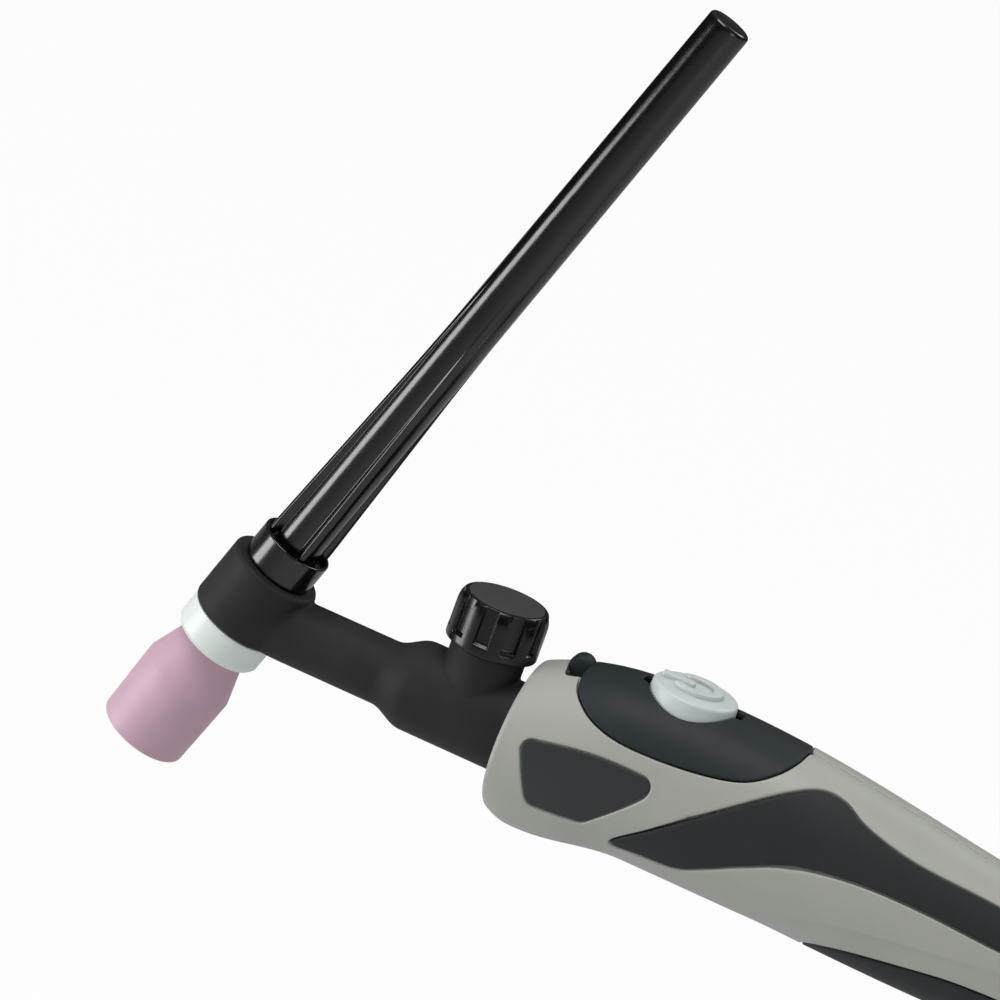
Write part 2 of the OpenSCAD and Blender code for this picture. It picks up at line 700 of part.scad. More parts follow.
// ==== Torch body ==================================================================
// The neck, its shoulder and the valve body as one turned form
module body_of_neck() along_x() rotate_extrude() polygon(concat([[0, 0], [neck_r, 0]],
    [for (i = [0:8]) [neck_r + (valve_body_r - neck_r) * ease(i / 8), shoulder_x + shoulder_l * i / 8]],
    [[valve_body_r, body_end], [0, body_end]]));
module torch_body() color(rubber_black) difference() {
    union() {
        at_head() rotate_extrude() polygon(concat([[0, barrel_bottom], [barrel_r, barrel_bottom]],
            [for (a = [0:18:90]) [barrel_r - 1.2 + 1.2 * cos(a), barrel_top - 1.2 + 1.2 * sin(a)]],
            [[0, barrel_top]]));
        at_neck() body_of_neck();
        at_valve() rod(boss_r, 0, boss_top);
        at_handle() along_x() rod(flange_r, front_wall + seat, front_wall + flange_t + seat);
    }
    // The neck ends level with the barrel's lower face
    at_head() rod(2 * barrel_r, -above, barrel_bottom);
    at_head() rod(core_r + fit, -above, core_top + fit);
    at_head() rod(oring_major + oring_minor + fit, core_top, above);
    at_neck() along_x(0, gas_z) rod(gas_tube_r + fit, 0, valve_x);
    at_neck() along_x(0, gas_z) rod(gas_rear_r + fit, valve_x, body_end + past);
    at_neck() along_x(power_y, line_z) rod(power_tube_r + fit, 0, body_end + past);
    at_neck() along_x(water_y, line_z) rod(water_tube_r + fit, 0, body_end + past);
    at_valve() rod(block_r + fit, block_bottom - fit, boss_top + past);
}
module head_core() color(brass) difference() {
    at_head() rod(core_r, barrel_bottom, core_top);
    at_head() rod(collet_body_top_r + fit, barrel_bottom - past, collet_seat + fit);
    at_head() rod(cap_thread_r + fit, collet_seat, above);
    at_head() rod(oring_major + oring_minor + fit, oring_level - oring_minor - fit, above);
    // The gas way opens into the threaded bore, above the collet's seat
    at_neck() along_x(0, gas_z) rod(gas_way_r, 0, 2 * core_r);
    at_neck() along_x(0, gas_z) rod(gas_tube_r + fit, gas_tube_start, 2 * core_r);
    at_neck() along_x(power_y, line_z) rod(power_tube_r + fit, tube_start, 2 * core_r);
    at_neck() along_x(water_y, line_z) rod(water_tube_r + fit, tube_start, 2 * core_r);
}
module power_tube() color(copper) at_neck() along_x(power_y, line_z)
    ring(power_tube_r, power_tube_r - tube_wall, tube_start + fit, power_hex_start + power_socket);
module water_tube() color(copper) at_neck() along_x(water_y, line_z)
    ring(water_tube_r, water_tube_r - tube_wall, tube_start + fit, body_end + barb_socket);
module gas_tube_front() color(copper) at_neck() along_x(0, gas_z)
    ring(gas_tube_r, gas_tube_r - tube_wall, gas_tube_start + fit, valve_x - block_r + block_socket);
module gas_tube_rear() color(copper) at_neck() along_x(0, gas_z)
    ring(gas_rear_r, gas_rear_r - tube_wall, valve_x + block_r - block_socket, body_end + barb_socket);
module power_cable_fitting() color(brass) at_neck() along_x(power_y, line_z) difference() {
    union() {
        translate([0, 0, power_hex_start]) cylinder(h = power_hex_l, r = power_hex_r, $fn = 6);
        rod(power_stud_r, power_hex_start + power_hex_l, power_hex_start + power_hex_l + power_stud_l);
    }
    rod(power_tube_r + fit, power_hex_start - past, power_hex_start + power_socket + fit);
    rod(power_tube_r - tube_wall, power_hex_start, power_hex_start + power_hex_l + power_stud_l + past);
}
module hose_barb(tube_r) difference() {
    union() {
        rod(tube_r + ferrule_wall, body_end + seat, barb_start);
        rod(barb_r - barb_step, barb_start, barb_start + barb_l);
        for (i = [0:2]) translate([0, 0, barb_start + barb_l * (0.1 + 0.3 * i)])
            cone(barb_r, barb_r - barb_step, 0, 0.2 * barb_l);
    }
    rod(tube_r + fit, body_end - past, body_end + barb_socket + fit);
    rod(tube_r - tube_wall, body_end, barb_start + barb_l + past);
}
module water_hose_barb() color(brass) at_neck() along_x(water_y, line_z) hose_barb(water_tube_r);
module gas_hose_barb() color(brass) at_neck() along_x(0, gas_z) hose_barb(gas_rear_r);

// ==== Valve =======================================================================
module valve_block() color(brass) difference() {
    at_valve() rod(block_r, block_bottom, block_top);
    // Gas comes in behind, rises through the seat and leaves in front
    at_valve() along_x(0, gas_z) rod(gas_rear_r + fit, block_r - block_socket - fit, 2 * block_r);
    at_valve() along_x(0, gas_z) rod(gas_way_r, 0, block_r);
    at_valve() rod(gas_way_r, gas_z, seat_level + past);
    at_valve() rod(stem_r + fit, seat_level, block_top + past);
    at_valve() translate([-1.4, 0, seat_level + 0.8]) rotate([0, 180 + 40, 0]) rod(gas_way_r, 0, 4.6);
    at_valve() along_x(0, gas_z) rod(gas_tube_r + fit, -2 * block_r, block_socket + fit - block_r);
}
module valve_gland_nut() color(brass) at_valve() difference() {
    translate([0, 0, block_top]) cylinder(h = gland_top - block_top, r = gland_r, $fn = 6);
    rod(stem_r + fit, block_top - past, gland_top + past);
}
module valve_stem() color(brass) at_valve() difference() {
    union() {
        // Needle point
        cone(0.6, 1.5, seat_level - 0.4, seat_level + 1.2);
        rod(1.5, seat_level + 1.2, seat_level + 2.4);
        rod(stem_r, seat_level + 2.4, gland_top + turn_gap);
        rod(shaft_r, gland_top + turn_gap, stem_top);
    }
    ring(stem_r + past, stem_r - 2 * stem_oring_minor - seat / 2,
        stem_oring_level - stem_oring_minor - seat / 2, stem_oring_level + stem_oring_minor + seat / 2);
    rod(knob_screw_r + fit, gland_top - 0.4, stem_top + past);
}
module valve_stem_o_ring() color("#2b2420") at_valve()
    translate([0, 0, stem_oring_level]) torus(stem_r - stem_oring_minor, stem_oring_minor);
module valve_knob() color(gloss_black) at_valve() difference() {
    rotate_extrude() polygon([[0, knob_floor], [knob_recess_r, knob_floor], [knob_recess_r, knob_bottom],
        [knob_r - 0.5, knob_bottom], [knob_r, knob_bottom + 0.5], [knob_r, knob_bottom + knob_ring_h],
        [knob_r, knob_top - knob_turn_h], [knob_r - 0.15, knob_top - knob_turn_h / 2],
        [knob_r - 0.5, knob_top - knob_turn_h / 5], [knob_face_r, knob_top], [disc_r + seat, knob_top],
        [disc_r + seat, disc_seat], [screw_cap_r + 2 * seat, disc_seat], [screw_cap_r + 2 * seat, stem_top],
        [0, stem_top]]);
    for (i = [0:knob_flutes - 1]) rotate(360 * (i + 0.5) / knob_flutes)
        translate([knob_r + slot_r - slot_depth, 0, 0]) rod(slot_r, knob_bottom + knob_ring_h, knob_top + past);
    rod(shaft_r + fit, 0, stem_top + past);
}
module knob_screw() color("silver") at_valve() difference() {
    union() {
        rod(screw_cap_r, stem_top + seat / 2, disc_seat - seat);
        rod(knob_screw_r, gland_top - 0.2, stem_top + past);
    }
    translate([-2 * screw_cap_r, -slot_w / 2, disc_seat - 0.7]) cube([4 * screw_cap_r, slot_w, past]);
}
module knob_cap_disc() color("#2c2c2d") at_valve() rod(disc_r, disc_seat + 0.02, knob_top);

// ==== Head consumables ============================================================
module collet_body() color(copper) at_head() difference() {
    union() {
        rod(collet_body_top_r, gasket_top, collet_seat);
        rod(cup_thread_r, cup_thread_end, gasket_top);
        cone(nose_r - nose_bevel, nose_r, nose_end, nose_end + 2 * nose_bevel);
        rod(nose_r, nose_end + 2 * nose_bevel, cup_thread_end);
    }
    rod(collet_r + fit, collet_tip - 0.4, collet_seat + past);
    cone(electrode_r + fit, collet_r + fit, nose_end + 1, collet_tip - 0.4);
    rod(electrode_r + fit, nose_end - past, nose_end + 1.1);
    // Gas holes
    for (a = [45:90:315]) rotate(a)
        translate([0, 0, cup_thread_end - 2.2]) rotate([0, 90, 0]) rod(gas_way_r, 0, 2 * nose_r);
}
module collet() color(copper) at_head() difference() {
    union() {
        cone(collet_r - 0.45, collet_r, collet_tip, collet_tip + 2);
        rod(collet_r, collet_tip + 2, collet_seat + seat);
        // Head of the collet, between the collet body and the back cap's stub
        rod(collet_r + 1, collet_seat + seat / 2, stub_end - seat / 2);
    }
    rod(electrode_r + fit / 2, collet_tip - past, stub_end + past);
    for (a = [0, 90]) rotate(a)
        translate([-2 * collet_r, -collet_slot / 2, collet_tip - past]) cube([4 * collet_r, collet_slot, 12]);
}
module electrode() color("#9a9ca0") at_head() {
    cone(0.15, electrode_r, electrode_tip, electrode_tip + point_l);
    rod(electrode_r, electrode_tip + point_l, electrode_tip + electrode_l);
}
module cup_gasket() color("#e3eceb") at_head() difference() {
    union() {
        rod(gasket_r, gasket_bottom + gasket_bevel, gasket_top);
        cone(gasket_r - gasket_bevel, gasket_r, gasket_bottom, gasket_bottom + gasket_bevel);
    }
    rod(cup_neck_r + 2 * seat, gasket_bottom - past, cup_top + seat);
    rod(cup_thread_r + seat, cup_top, gasket_top + past);
}
module gas_cup() color("#c7a3b6") at_head() rotate_extrude() polygon([
    [cup_thread_r + seat, cup_top], [cup_neck_r, cup_top], [cup_neck_r, gasket_bottom],
    [cup_r, gasket_bottom - cup_flare_l], [cup_mouth_r, cup_mouth + cup_edge],
    [cup_mouth_r - cup_edge, cup_mouth], [cup_bore_r + cup_edge, cup_mouth], [cup_bore_r, cup_mouth + cup_edge],
    [cup_bore_r, cup_thread_end - 3], [cup_thread_r + seat, cup_thread_end]]);
module back_cap_o_ring() color("#2b2420") at_head()
    translate([0, 0, oring_level]) torus(oring_major, oring_minor);
module back_cap() color(gloss_black) at_head() difference() {
    union() {
        // Threaded stub, collar with its recess, slender body and tip
        rotate_extrude() polygon([[0, stub_end], [cap_thread_r, stub_end], [cap_thread_r, cap_bottom],
            [cap_collar_r - collar_edge, cap_bottom], [cap_collar_r, cap_bottom + collar_edge],
            [cap_collar_r, collar_top - collar_edge], [cap_collar_r - collar_edge, collar_top],
            [recess_r, collar_top], [recess_r, collar_top - recess_depth],
            [cap_root_r, collar_top - recess_depth], [cap_tip_r, cap_body_top],
            [cap_tip_r - cap_tip_edge, cap_top], [0, cap_top]]);
        // Ribs that run out half way up
        for (i = [0:cap_ribs - 1]) rotate([90, 0, rib_angle + 360 * i / cap_ribs])
            linear_extrude(cap_rib_t, center = true) polygon([[0, collar_top - 2 * recess_depth],
                [cap_rib_r, collar_top - 2 * recess_depth], [cap_tip_r, collar_top + cap_rib_l],
                [0, collar_top + cap_rib_l]]);
    }
    rod(cap_bore_r, stub_end - past, cap_top - cap_tip_wall);
    // Dished tip
    translate([0, 0, cap_top + dish_r - dish_depth]) sphere(dish_r, $fn = 96);
}

handle_shell_left();
handle_shell_right();
side_grip_left();
side_grip_right();
badge_left();
badge_right();
underside_grip();
switch_panel();
switch_housing();
microswitch();
microswitch_terminals();
cable_inlet_collar();
handle_screws();
torch_body();
head_core();
power_tube();
water_tube();
gas_tube_front();
gas_tube_rear();
power_cable_fitting();
water_hose_barb();
gas_hose_barb();
valve_block();
valve_gland_nut();
collet_body();
collet();
trigger_button();
microswitch_plunger();
button_spring();
valve_stem_o_ring();
valve_stem();
valve_knob();
knob_screw();
knob_cap_disc();
back_cap_o_ring();
back_cap();
cup_gasket();
gas_cup();
electrode();
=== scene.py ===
"""TIG torch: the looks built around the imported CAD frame.

Lengths in this script are millimetres in the row frame until a mesh is made, which turns
them into metres. The names of the sizes are those of the CAD source.
"""
import math

import bpy
import bmesh
import numpy as np
from mathutils import Matrix, Vector
from mathutils.geometry import delaunay_2d_cdt


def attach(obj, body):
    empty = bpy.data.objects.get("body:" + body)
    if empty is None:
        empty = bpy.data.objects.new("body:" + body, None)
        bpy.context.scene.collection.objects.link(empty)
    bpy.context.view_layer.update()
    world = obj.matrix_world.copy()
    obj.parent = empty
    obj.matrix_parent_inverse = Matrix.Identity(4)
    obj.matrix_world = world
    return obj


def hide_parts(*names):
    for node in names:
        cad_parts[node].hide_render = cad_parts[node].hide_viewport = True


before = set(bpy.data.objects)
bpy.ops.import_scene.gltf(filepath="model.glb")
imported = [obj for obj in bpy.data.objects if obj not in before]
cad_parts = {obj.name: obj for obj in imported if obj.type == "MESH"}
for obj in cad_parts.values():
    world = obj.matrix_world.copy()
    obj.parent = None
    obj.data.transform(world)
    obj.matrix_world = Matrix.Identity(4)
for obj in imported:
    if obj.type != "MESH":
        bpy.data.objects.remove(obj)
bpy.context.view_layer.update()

# ---- Sizes ---------------------------------------------------------------------------
HEAD_TILT = math.radians(20)
HANDLE_FRONT, HANDLE_L, FLANGE_T = 60.3, 147.0, 2.0
REACH = HANDLE_FRONT + HANDLE_L + FLANGE_T
VALVE_X, BUTTON_S = 49.9, 30.6
BARREL_R, BARREL_TOP, BARREL_BOTTOM = 9.8, 11.3, -2.7
NECK_R, BODY_R, SHOULDER_X, SHOULDER_L = 6.7, 9.1, 31.5, 7.5
BOSS_R, BOSS_TOP = 7.65, 13.6
BODY_END = HANDLE_FRONT + 16
FRONT_R, CROWN_Z, CROWN_S = 15.1, 21.7, 36.0
LIP_Z, LIP_S, LIP_RUN, BELLY_Z, HEEL_Z = 17.4, 6.0, 24.0, 13.9, 0.7
HALF_W, REAR_R, REAR_L, SQUARENESS, WALL = 15.6, 12.7, 17.0, 0.3, 2.6
WAIST_S, BELLY_END, SHOULDER_RUN, BROW = HANDLE_L - REAR_L, 100.0, 20.0, 3.0
BUTTON_R, BUTTON_TOP, LUG_R = 8.8, 23.8, 10.2
SCREWS = ((11, 1.4 - BELLY_Z), (50, 4.4 - BELLY_Z), (HANDLE_L - 20, 3.6 - REAR_R),
          (HANDLE_L - 20, REAR_R - 3.6))
DEG = 0.27  # millimetres on the handle's skin to one degree round it


# ---- Frames: from a piece's own frame to the row frame -------------------------------
def placed(x, tilt=0.0):
    """A frame x along the row frame, tilted about Y."""
    return Matrix.Translation((x, 0, 0)) @ Matrix.Rotation(tilt, 4, "Y")


HEAD = placed(-REACH, HEAD_TILT)
VALVE = placed(VALVE_X - REACH)
BUTTON = placed(HANDLE_FRONT + BUTTON_S - REACH)
HANDLE = placed(HANDLE_FRONT - REACH)


# ---- Meshes --------------------------------------------------------------------------
def piece(name, verts, faces, material, body, slot, at=None, replaces=(), weighted=True):
    """A mesh object in metres from points in millimetres, on its body."""
    mesh = bpy.data.meshes.new(name)
    points = np.asarray(verts, float).reshape(-1, 3)
    if at is not None:
        m = np.array(at, float)
        points = points @ m[:3, :3].T + m[:3, 3]
    mesh.from_pydata((points / 1000).tolist(), [], [tuple(int(i) for i in f) for f in faces])
    bm = bmesh.new()
    bm.from_mesh(mesh)
    bmesh.ops.remove_doubles(bm, verts=bm.verts, dist=1e-7)
    bmesh.ops.dissolve_degenerate(bm, edges=bm.edges, dist=1e-8)
    bmesh.ops.recalc_face_normals(bm, faces=bm.faces)
    bm.to_mesh(mesh)
    bm.free()
    mesh.polygons.foreach_set("use_smooth", [True] * len(mesh.polygons))
    mesh.materials.append(material)
    obj = bpy.data.objects.new(name, mesh)
    bpy.context.scene.collection.objects.link(obj)
    if weighted:
        modifier = obj.modifiers.new("normals", "WEIGHTED_NORMAL")
        modifier.weight = 80
        modifier.keep_sharp = True
    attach(obj, body)
    if replaces:
        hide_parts(*replaces)
    return obj


def rounded(corners, steps=5, closed=True):
    """A profile of (r, z, rounding) corners as points, each corner turned by an arc."""
    out, n = [], len(corners)
    for i, corner in enumerate(corners):
        p = np.array(corner[:2], float)
        radius = corner[2] if len(corner) > 2 else 0
        if radius <= 0 or (not closed and i in (0, n - 1)):
            out.append(tuple(p))
            continue
        a = np.array(corners[i - 1][:2], float) - p
        b = np.array(corners[(i + 1) % n][:2], float) - p
        la, lb = np.linalg.norm(a), np.linalg.norm(b)
        a, b = a / la, b / lb
        half = math.acos(max(-1, min(1, float(a @ b)))) / 2
        if half > math.pi / 2 - 0.02:
            out.append(tuple(p))
            continue
        cut = min(radius / math.tan(half), 0.48 * la, 0.48 * lb)
        radius = cut * math.tan(half)
        middle = p + (a + b) / np.linalg.norm(a + b) * (radius / math.sin(half))
        start, end = p + a * cut - middle, p + b * cut - middle
        a0 = math.atan2(start[1], start[0])
        turn = (math.atan2(end[1], end[0]) - a0 + math.pi) % (2 * math.pi) - math.pi
        for k in range(steps + 1):
            angle = a0 + turn * k / steps
            out.append((middle[0] + radius * math.cos(angle), middle[1] + radius * math.sin(angle)))
    return out


def split(profile, longest):
    """Adds points so that no stretch of a closed profile is longer than longest."""
    out, n = [], len(profile)
    for i in range(n):
        p, q = np.array(profile[i]), np.array(profile[(i + 1) % n])
        k = max(1, int(math.ceil(np.linalg.norm(q - p) / longest)))
        out += [tuple(p + (q - p) * j / k) for j in range(k)]
    return out


def turned(profile, n=96, change=None, angles=None):
    """Vertices and faces of a closed profile turned round Z, in n equal steps or at given angles.

    change(angle, r, z) bends the radius.
    """
    verts, rows = [], []
    angles = np.arange(n) * 2 * math.pi / n if angles is None else angles
    n = len(angles)
    for r, z in profile:
        if r < 1e-6:
            rows.append([len(verts)])
            verts.append((0, 0, z))
        else:
            rows.append(list(range(len(verts), len(verts) + n)))
            for a in angles:
                rr = change(a, r, z) if change else r
                verts.append((rr * math.cos(a), rr * math.sin(a), z))
    faces = []
    for i in range(len(rows)):
        a, b = rows[i], rows[(i + 1) % len(rows)]
        if len(a) == 1 and len(b) == 1:
            continue
        for k in range(n):
            k2 = (k + 1) % n
            if len(a) == 1:
                faces.append((a[0], b[k2], b[k]))
            elif len(b) == 1:
                faces.append((a[k], a[k2], b[0]))
            else:
                faces.append((a[k], a[k2], b[k2], b[k]))
    return verts, faces


def joined(*parts):
    """Several (vertices, faces) as one."""
    verts, faces = [], []
    for v, f in parts:
        base = len(verts)
        verts += [tuple(p) for p in v]
        faces += [tuple(i + base for i in face) for face in f]
    return verts, faces


def moved(part, matrix):
    """(vertices, faces) with every vertex moved by a matrix."""
    return [tuple(matrix @ Vector(p)) for p in part[0]], part[1]


def iso(field, lo, hi, step):
    """Closed surface where field is 0, by surface nets, with its points then pulled onto it."""
    probe, pulls = 0.02, 3
    lo, hi = np.array(lo, float), np.array(hi, float)
    n = np.ceil((hi - lo) / step).astype(int) + 1
    axes = [lo[k] + step * np.arange(n[k]) for k in range(3)]
    grid = np.stack(np.meshgrid(*axes, indexing="ij"), -1)
    v = field(grid.reshape(-1, 3)).reshape(n)
    inside = v < 0
    cells = np.zeros(n - 1, int)
    for dx in (0, 1):
        for dy in (0, 1):
            for dz in (0, 1):
                cells += inside[dx:n[0] - 1 + dx, dy:n[1] - 1 + dy, dz:n[2] - 1 + dz]
    active = (cells > 0) & (cells < 8)
    index = -np.ones(n - 1, int)
    index[active] = np.arange(active.sum())
    total = np.zeros((active.sum(), 3))
    count = np.zeros(active.sum())
    corner = np.argwhere(active)
    for axis in range(3):
        for a in (0, 1):
            for b in (0, 1):
                off = np.zeros(3, int)
                off[(axis + 1) % 3], off[(axis + 2) % 3] = a, b
                c0 = corner + off
                c1 = c0.copy()
                c1[:, axis] += 1
                v0, v1 = v[tuple(c0.T)], v[tuple(c1.T)]
                cross = (v0 < 0) != (v1 < 0)
                t = np.where(cross, v0 / np.where(cross, v0 - v1, 1), 0)
                p = lo + step * (c0 + t[:, None] * (c1 - c0))
                total += p * cross[:, None]
                count += cross
    points = total / count[:, None]
    faces = []
    for axis in range(3):
        u, w = (axis + 1) % 3, (axis + 2) % 3
        one = [slice(None)] * 3
        two = [slice(None)] * 3
        one[axis], two[axis] = slice(0, -1), slice(1, None)
        cross = inside[tuple(one)] != inside[tuple(two)]
        where = np.argwhere(cross)
        ok = (where[:, u] > 0) & (where[:, u] < n[u] - 1)
        ok &= (where[:, w] > 0) & (where[:, w] < n[w] - 1)
        where = where[ok]
        quad = []
        for du, dw in ((0, 0), (1, 0), (1, 1), (0, 1)):
            c = where.copy()
            c[:, u] -= du
            c[:, w] -= dw
            quad.append(index[tuple(c.T)])
        quad = np.stack(quad, 1)
        flip = inside[tuple(where.T)]
        quad[flip] = quad[flip][:, ::-1]
        faces.append(quad)
    faces = np.concatenate(faces)
    for _ in range(pulls):
        d = field(points)
        g = np.stack([(field(points + axis * probe) - field(points - axis * probe)) / (2 * probe)
                      for axis in np.eye(3)], 1)
        g2 = np.maximum((g * g).sum(1), 0.25)
        points = points - np.clip(d / g2, -step / 2, step / 2)[:, None] * g
    return points, faces


# ---- The handle's skin ---------------------------------------------------------------
def ease(t):
    """0 to 1 along half a wave."""
    return 0.5 - 0.5 * np.cos(np.pi * np.clip(t, 0, 1))


def top_z(s):
    front = CROWN_Z - (CROWN_Z - FRONT_R) * np.maximum(0, 1 - s / CROWN_S) ** BROW
    rear = CROWN_Z - (CROWN_Z - REAR_R) * ease((s - CROWN_S) / (WAIST_S - CROWN_S))
    return np.where(s < CROWN_S, front, rear)


def bottom_z(s):
    lip = FRONT_R + (LIP_Z - FRONT_R) * (1 - (1 - s / LIP_S) ** 2)
    belly = (BELLY_Z + (LIP_Z - BELLY_Z) * (1 - ease((s - LIP_S) / LIP_RUN))
             + HEEL_Z * ease((s - 50) / 40))
    heel = 1 - ease((s - BELLY_END) / (WAIST_S - BELLY_END))
    return -np.where(s < BELLY_END, np.where(s < LIP_S, lip, belly),
                     REAR_R + (BELLY_Z + HEEL_Z - REAR_R) * heel)


def half_w(s):
    return np.where(s < SHOULDER_RUN, FRONT_R + (HALF_W - FRONT_R) * ease(s / SHOULDER_RUN),
                    HALF_W - (HALF_W - REAR_R) * ease((s - 55) / (WAIST_S - 55)))


def exponent(s):
    """The power that squares the handle's section a little behind its front and before its end."""
    heel = 1 - ease((s - BELLY_END) / (WAIST_S - BELLY_END))
    return 2 / (2 + SQUARENESS * ease(s / SHOULDER_RUN) * heel)


def spow(v, e):
    """The size of v to the power e, with the sign of v."""
    return np.sign(v) * np.abs(v) ** e


def skin(s, a, inset):
    """Points of the handle's form at places s, angles a in degrees from the crown, and depths."""
    s, a, inset = (np.asarray(v, float) for v in (s, a, inset))
    front = np.minimum(s, 0.0)
    q = np.maximum(s, 0.0)
    e = exponent(q)
    edge = 1 - np.sqrt(np.maximum(0, 1 - (1 - np.minimum(1, q)) ** 2))
    deep = inset > 2
    bend = np.where(deep, inset, np.maximum(inset, 0) + edge)
    middle, half = (top_z(q) + bottom_z(q)) / 2, (top_z(q) - bottom_z(q)) / 2
    shrink = bend - front
    ca, sa = np.cos(np.radians(a)), np.sin(np.radians(a))
    y = -(half_w(q) - shrink) * spow(sa, e)
    z = middle + (half - shrink) * spow(ca, e)
    x = np.where(deep, np.maximum(q, WALL + 0.4), q + np.where(front < 0, np.maximum(inset, 0), 0))
    return np.stack([x, y, z], -1)


def angle_at(s, z):
    """The angle from the crown at which the near side's skin has a height."""
    s, z = np.asarray(s, float), np.asarray(z, float)
    middle, half = (top_z(s) + bottom_z(s)) / 2, (top_z(s) - bottom_z(s)) / 2
    return np.degrees(np.arccos(np.clip(spow((z - middle) / half, 1 / exponent(s)), -1, 1)))


def angle_over(s, y):
    """The angle from the crown at which the skin is y to the near side, above the widest line."""
    s, y = np.asarray(s, float), np.asarray(y, float)
    return np.degrees(np.arcsin(np.clip(np.abs(y) / half_w(s), 0, 1) ** (1 / exponent(s))))


def smooth(points, steps, closed=True):
    """Smooth line through points."""
    p = np.array(points, float)
    n, out = len(p), []
    for i in range(n if closed else n - 1):
        if closed:
            a, b, c, d = p[i - 1], p[i], p[(i + 1) % n], p[(i + 2) % n]
        else:
            a, b, c, d = p[max(i - 1, 0)], p[i], p[i + 1], p[min(i + 2, n - 1)]
        for k in range(steps):
            t = k / steps
            out.append(0.5 * (2 * b + (c - a) * t + (2 * a - 5 * b + 4 * c - d) * t * t
                              + (3 * b - a - 3 * c + d) * t ** 3))
    if not closed:
        out.append(p[-1])
    return np.array(out)


def spaced(line, step, closed=True):
    """The same line with points step apart."""
    p = np.array(line, float)
    if closed:
        p = np.vstack([p, p[:1]])
    length = np.concatenate([[0], np.cumsum(np.linalg.norm(np.diff(p, axis=0), axis=1))])
    n = max(3, int(round(length[-1] / step)))
    t = np.linspace(0, length[-1], n + 1)
    q = np.stack([np.interp(t, length, p[:, k]) for k in (0, 1)], 1)
    return q[:-1] if closed else q


def to_skin(line):
    """Side-view points (s, z) as points on the unrolled skin (s, u)."""
    line = np.asarray(line, float)
    return np.stack([line[:, 0], angle_at(line[:, 0], line[:, 1]) * DEG], 1)


def over_skin(line):
    """Points from above (s, y) as points on the unrolled skin (s, u)."""
    line = np.asarray(line, float)
    angle = angle_over(line[:, 0], line[:, 1])
    return np.stack([line[:, 0], np.sign(line[:, 1]) * angle * DEG], 1)


def distance(points, loop, closed=True):
    """Shortest distance from each point to a line of points."""
    a = loop
    b = np.roll(loop, -1, 0) if closed else loop[1:]
    a = a if closed else loop[:-1]
    out = np.full(len(points), 1e9)
    for i in range(0, len(points), 2000):
        p = points[i:i + 2000, None]
        ab = (b - a)[None]
        t = np.clip(((p - a[None]) * ab).sum(-1) / np.maximum((ab * ab).sum(-1), 1e-12), 0, 1)
        out[i:i + 2000] = np.linalg.norm(p - (a[None] + t[..., None] * ab), axis=-1).min(1)
    return out


def within(points, loop):
    """Which points lie inside a closed loop."""
    x, y = points[:, 0:1], points[:, 1:2]
    a, b = loop, np.roll(loop, -1, 0)
    crosses = ((a[:, 1] > y) != (b[:, 1] > y))
    with np.errstate(divide="ignore", invalid="ignore"):
        at = a[:, 0] + (y - a[:, 1]) * (b[:, 0] - a[:, 0]) / (b[:, 1] - a[:, 1])
    return (crosses & (x < at)).sum(1) % 2 == 1


def leftward(loop):
    """A closed loop, turned round where needed so that its inside lies to its left."""
    loop = np.asarray(loop, float)
    x, y = loop.T
    clockwise = ((np.roll(x, -1) - x) * (np.roll(y, -1) + y)).sum() > 0
    return loop[::-1] if clockwise else loop


def normals(loop):
    """Unit normals at the points of a closed loop, to its left."""
    t = np.roll(loop, -1, 0) - np.roll(loop, 1, 0)
    t /= np.linalg.norm(t, axis=1)[:, None]
    return np.stack([-t[:, 1], t[:, 0]], 1)


def offset(loop, d):
    """Points at a distance d beside a closed loop, to its left, where nothing folds over."""
    p = loop + d * normals(loop)
    return p[distance(p, loop) > abs(d) * 0.97]


def grown(loop, d):
    """A closed loop moved outwards by d on the unrolled skin."""
    return offset(leftward(loop), -d)


def rounding(d, r):
    """How far a rounded edge of radius r drops at a distance d from the edge."""
    d = np.clip(d, 0, r)
    return r - np.sqrt(np.maximum(0, r * r - (r - d) ** 2))


SPACING = 1.3  # between the points of a layer's grid
RINGS = (0.05, 0.13, 0.24, 0.38, 0.8)  # distances from an edge at which a layer has points
SEAM_EDGE, SEAM_ROWS = 0.15, (0.05, 0.1, 0.16, 0.4)  # the same for a parting line


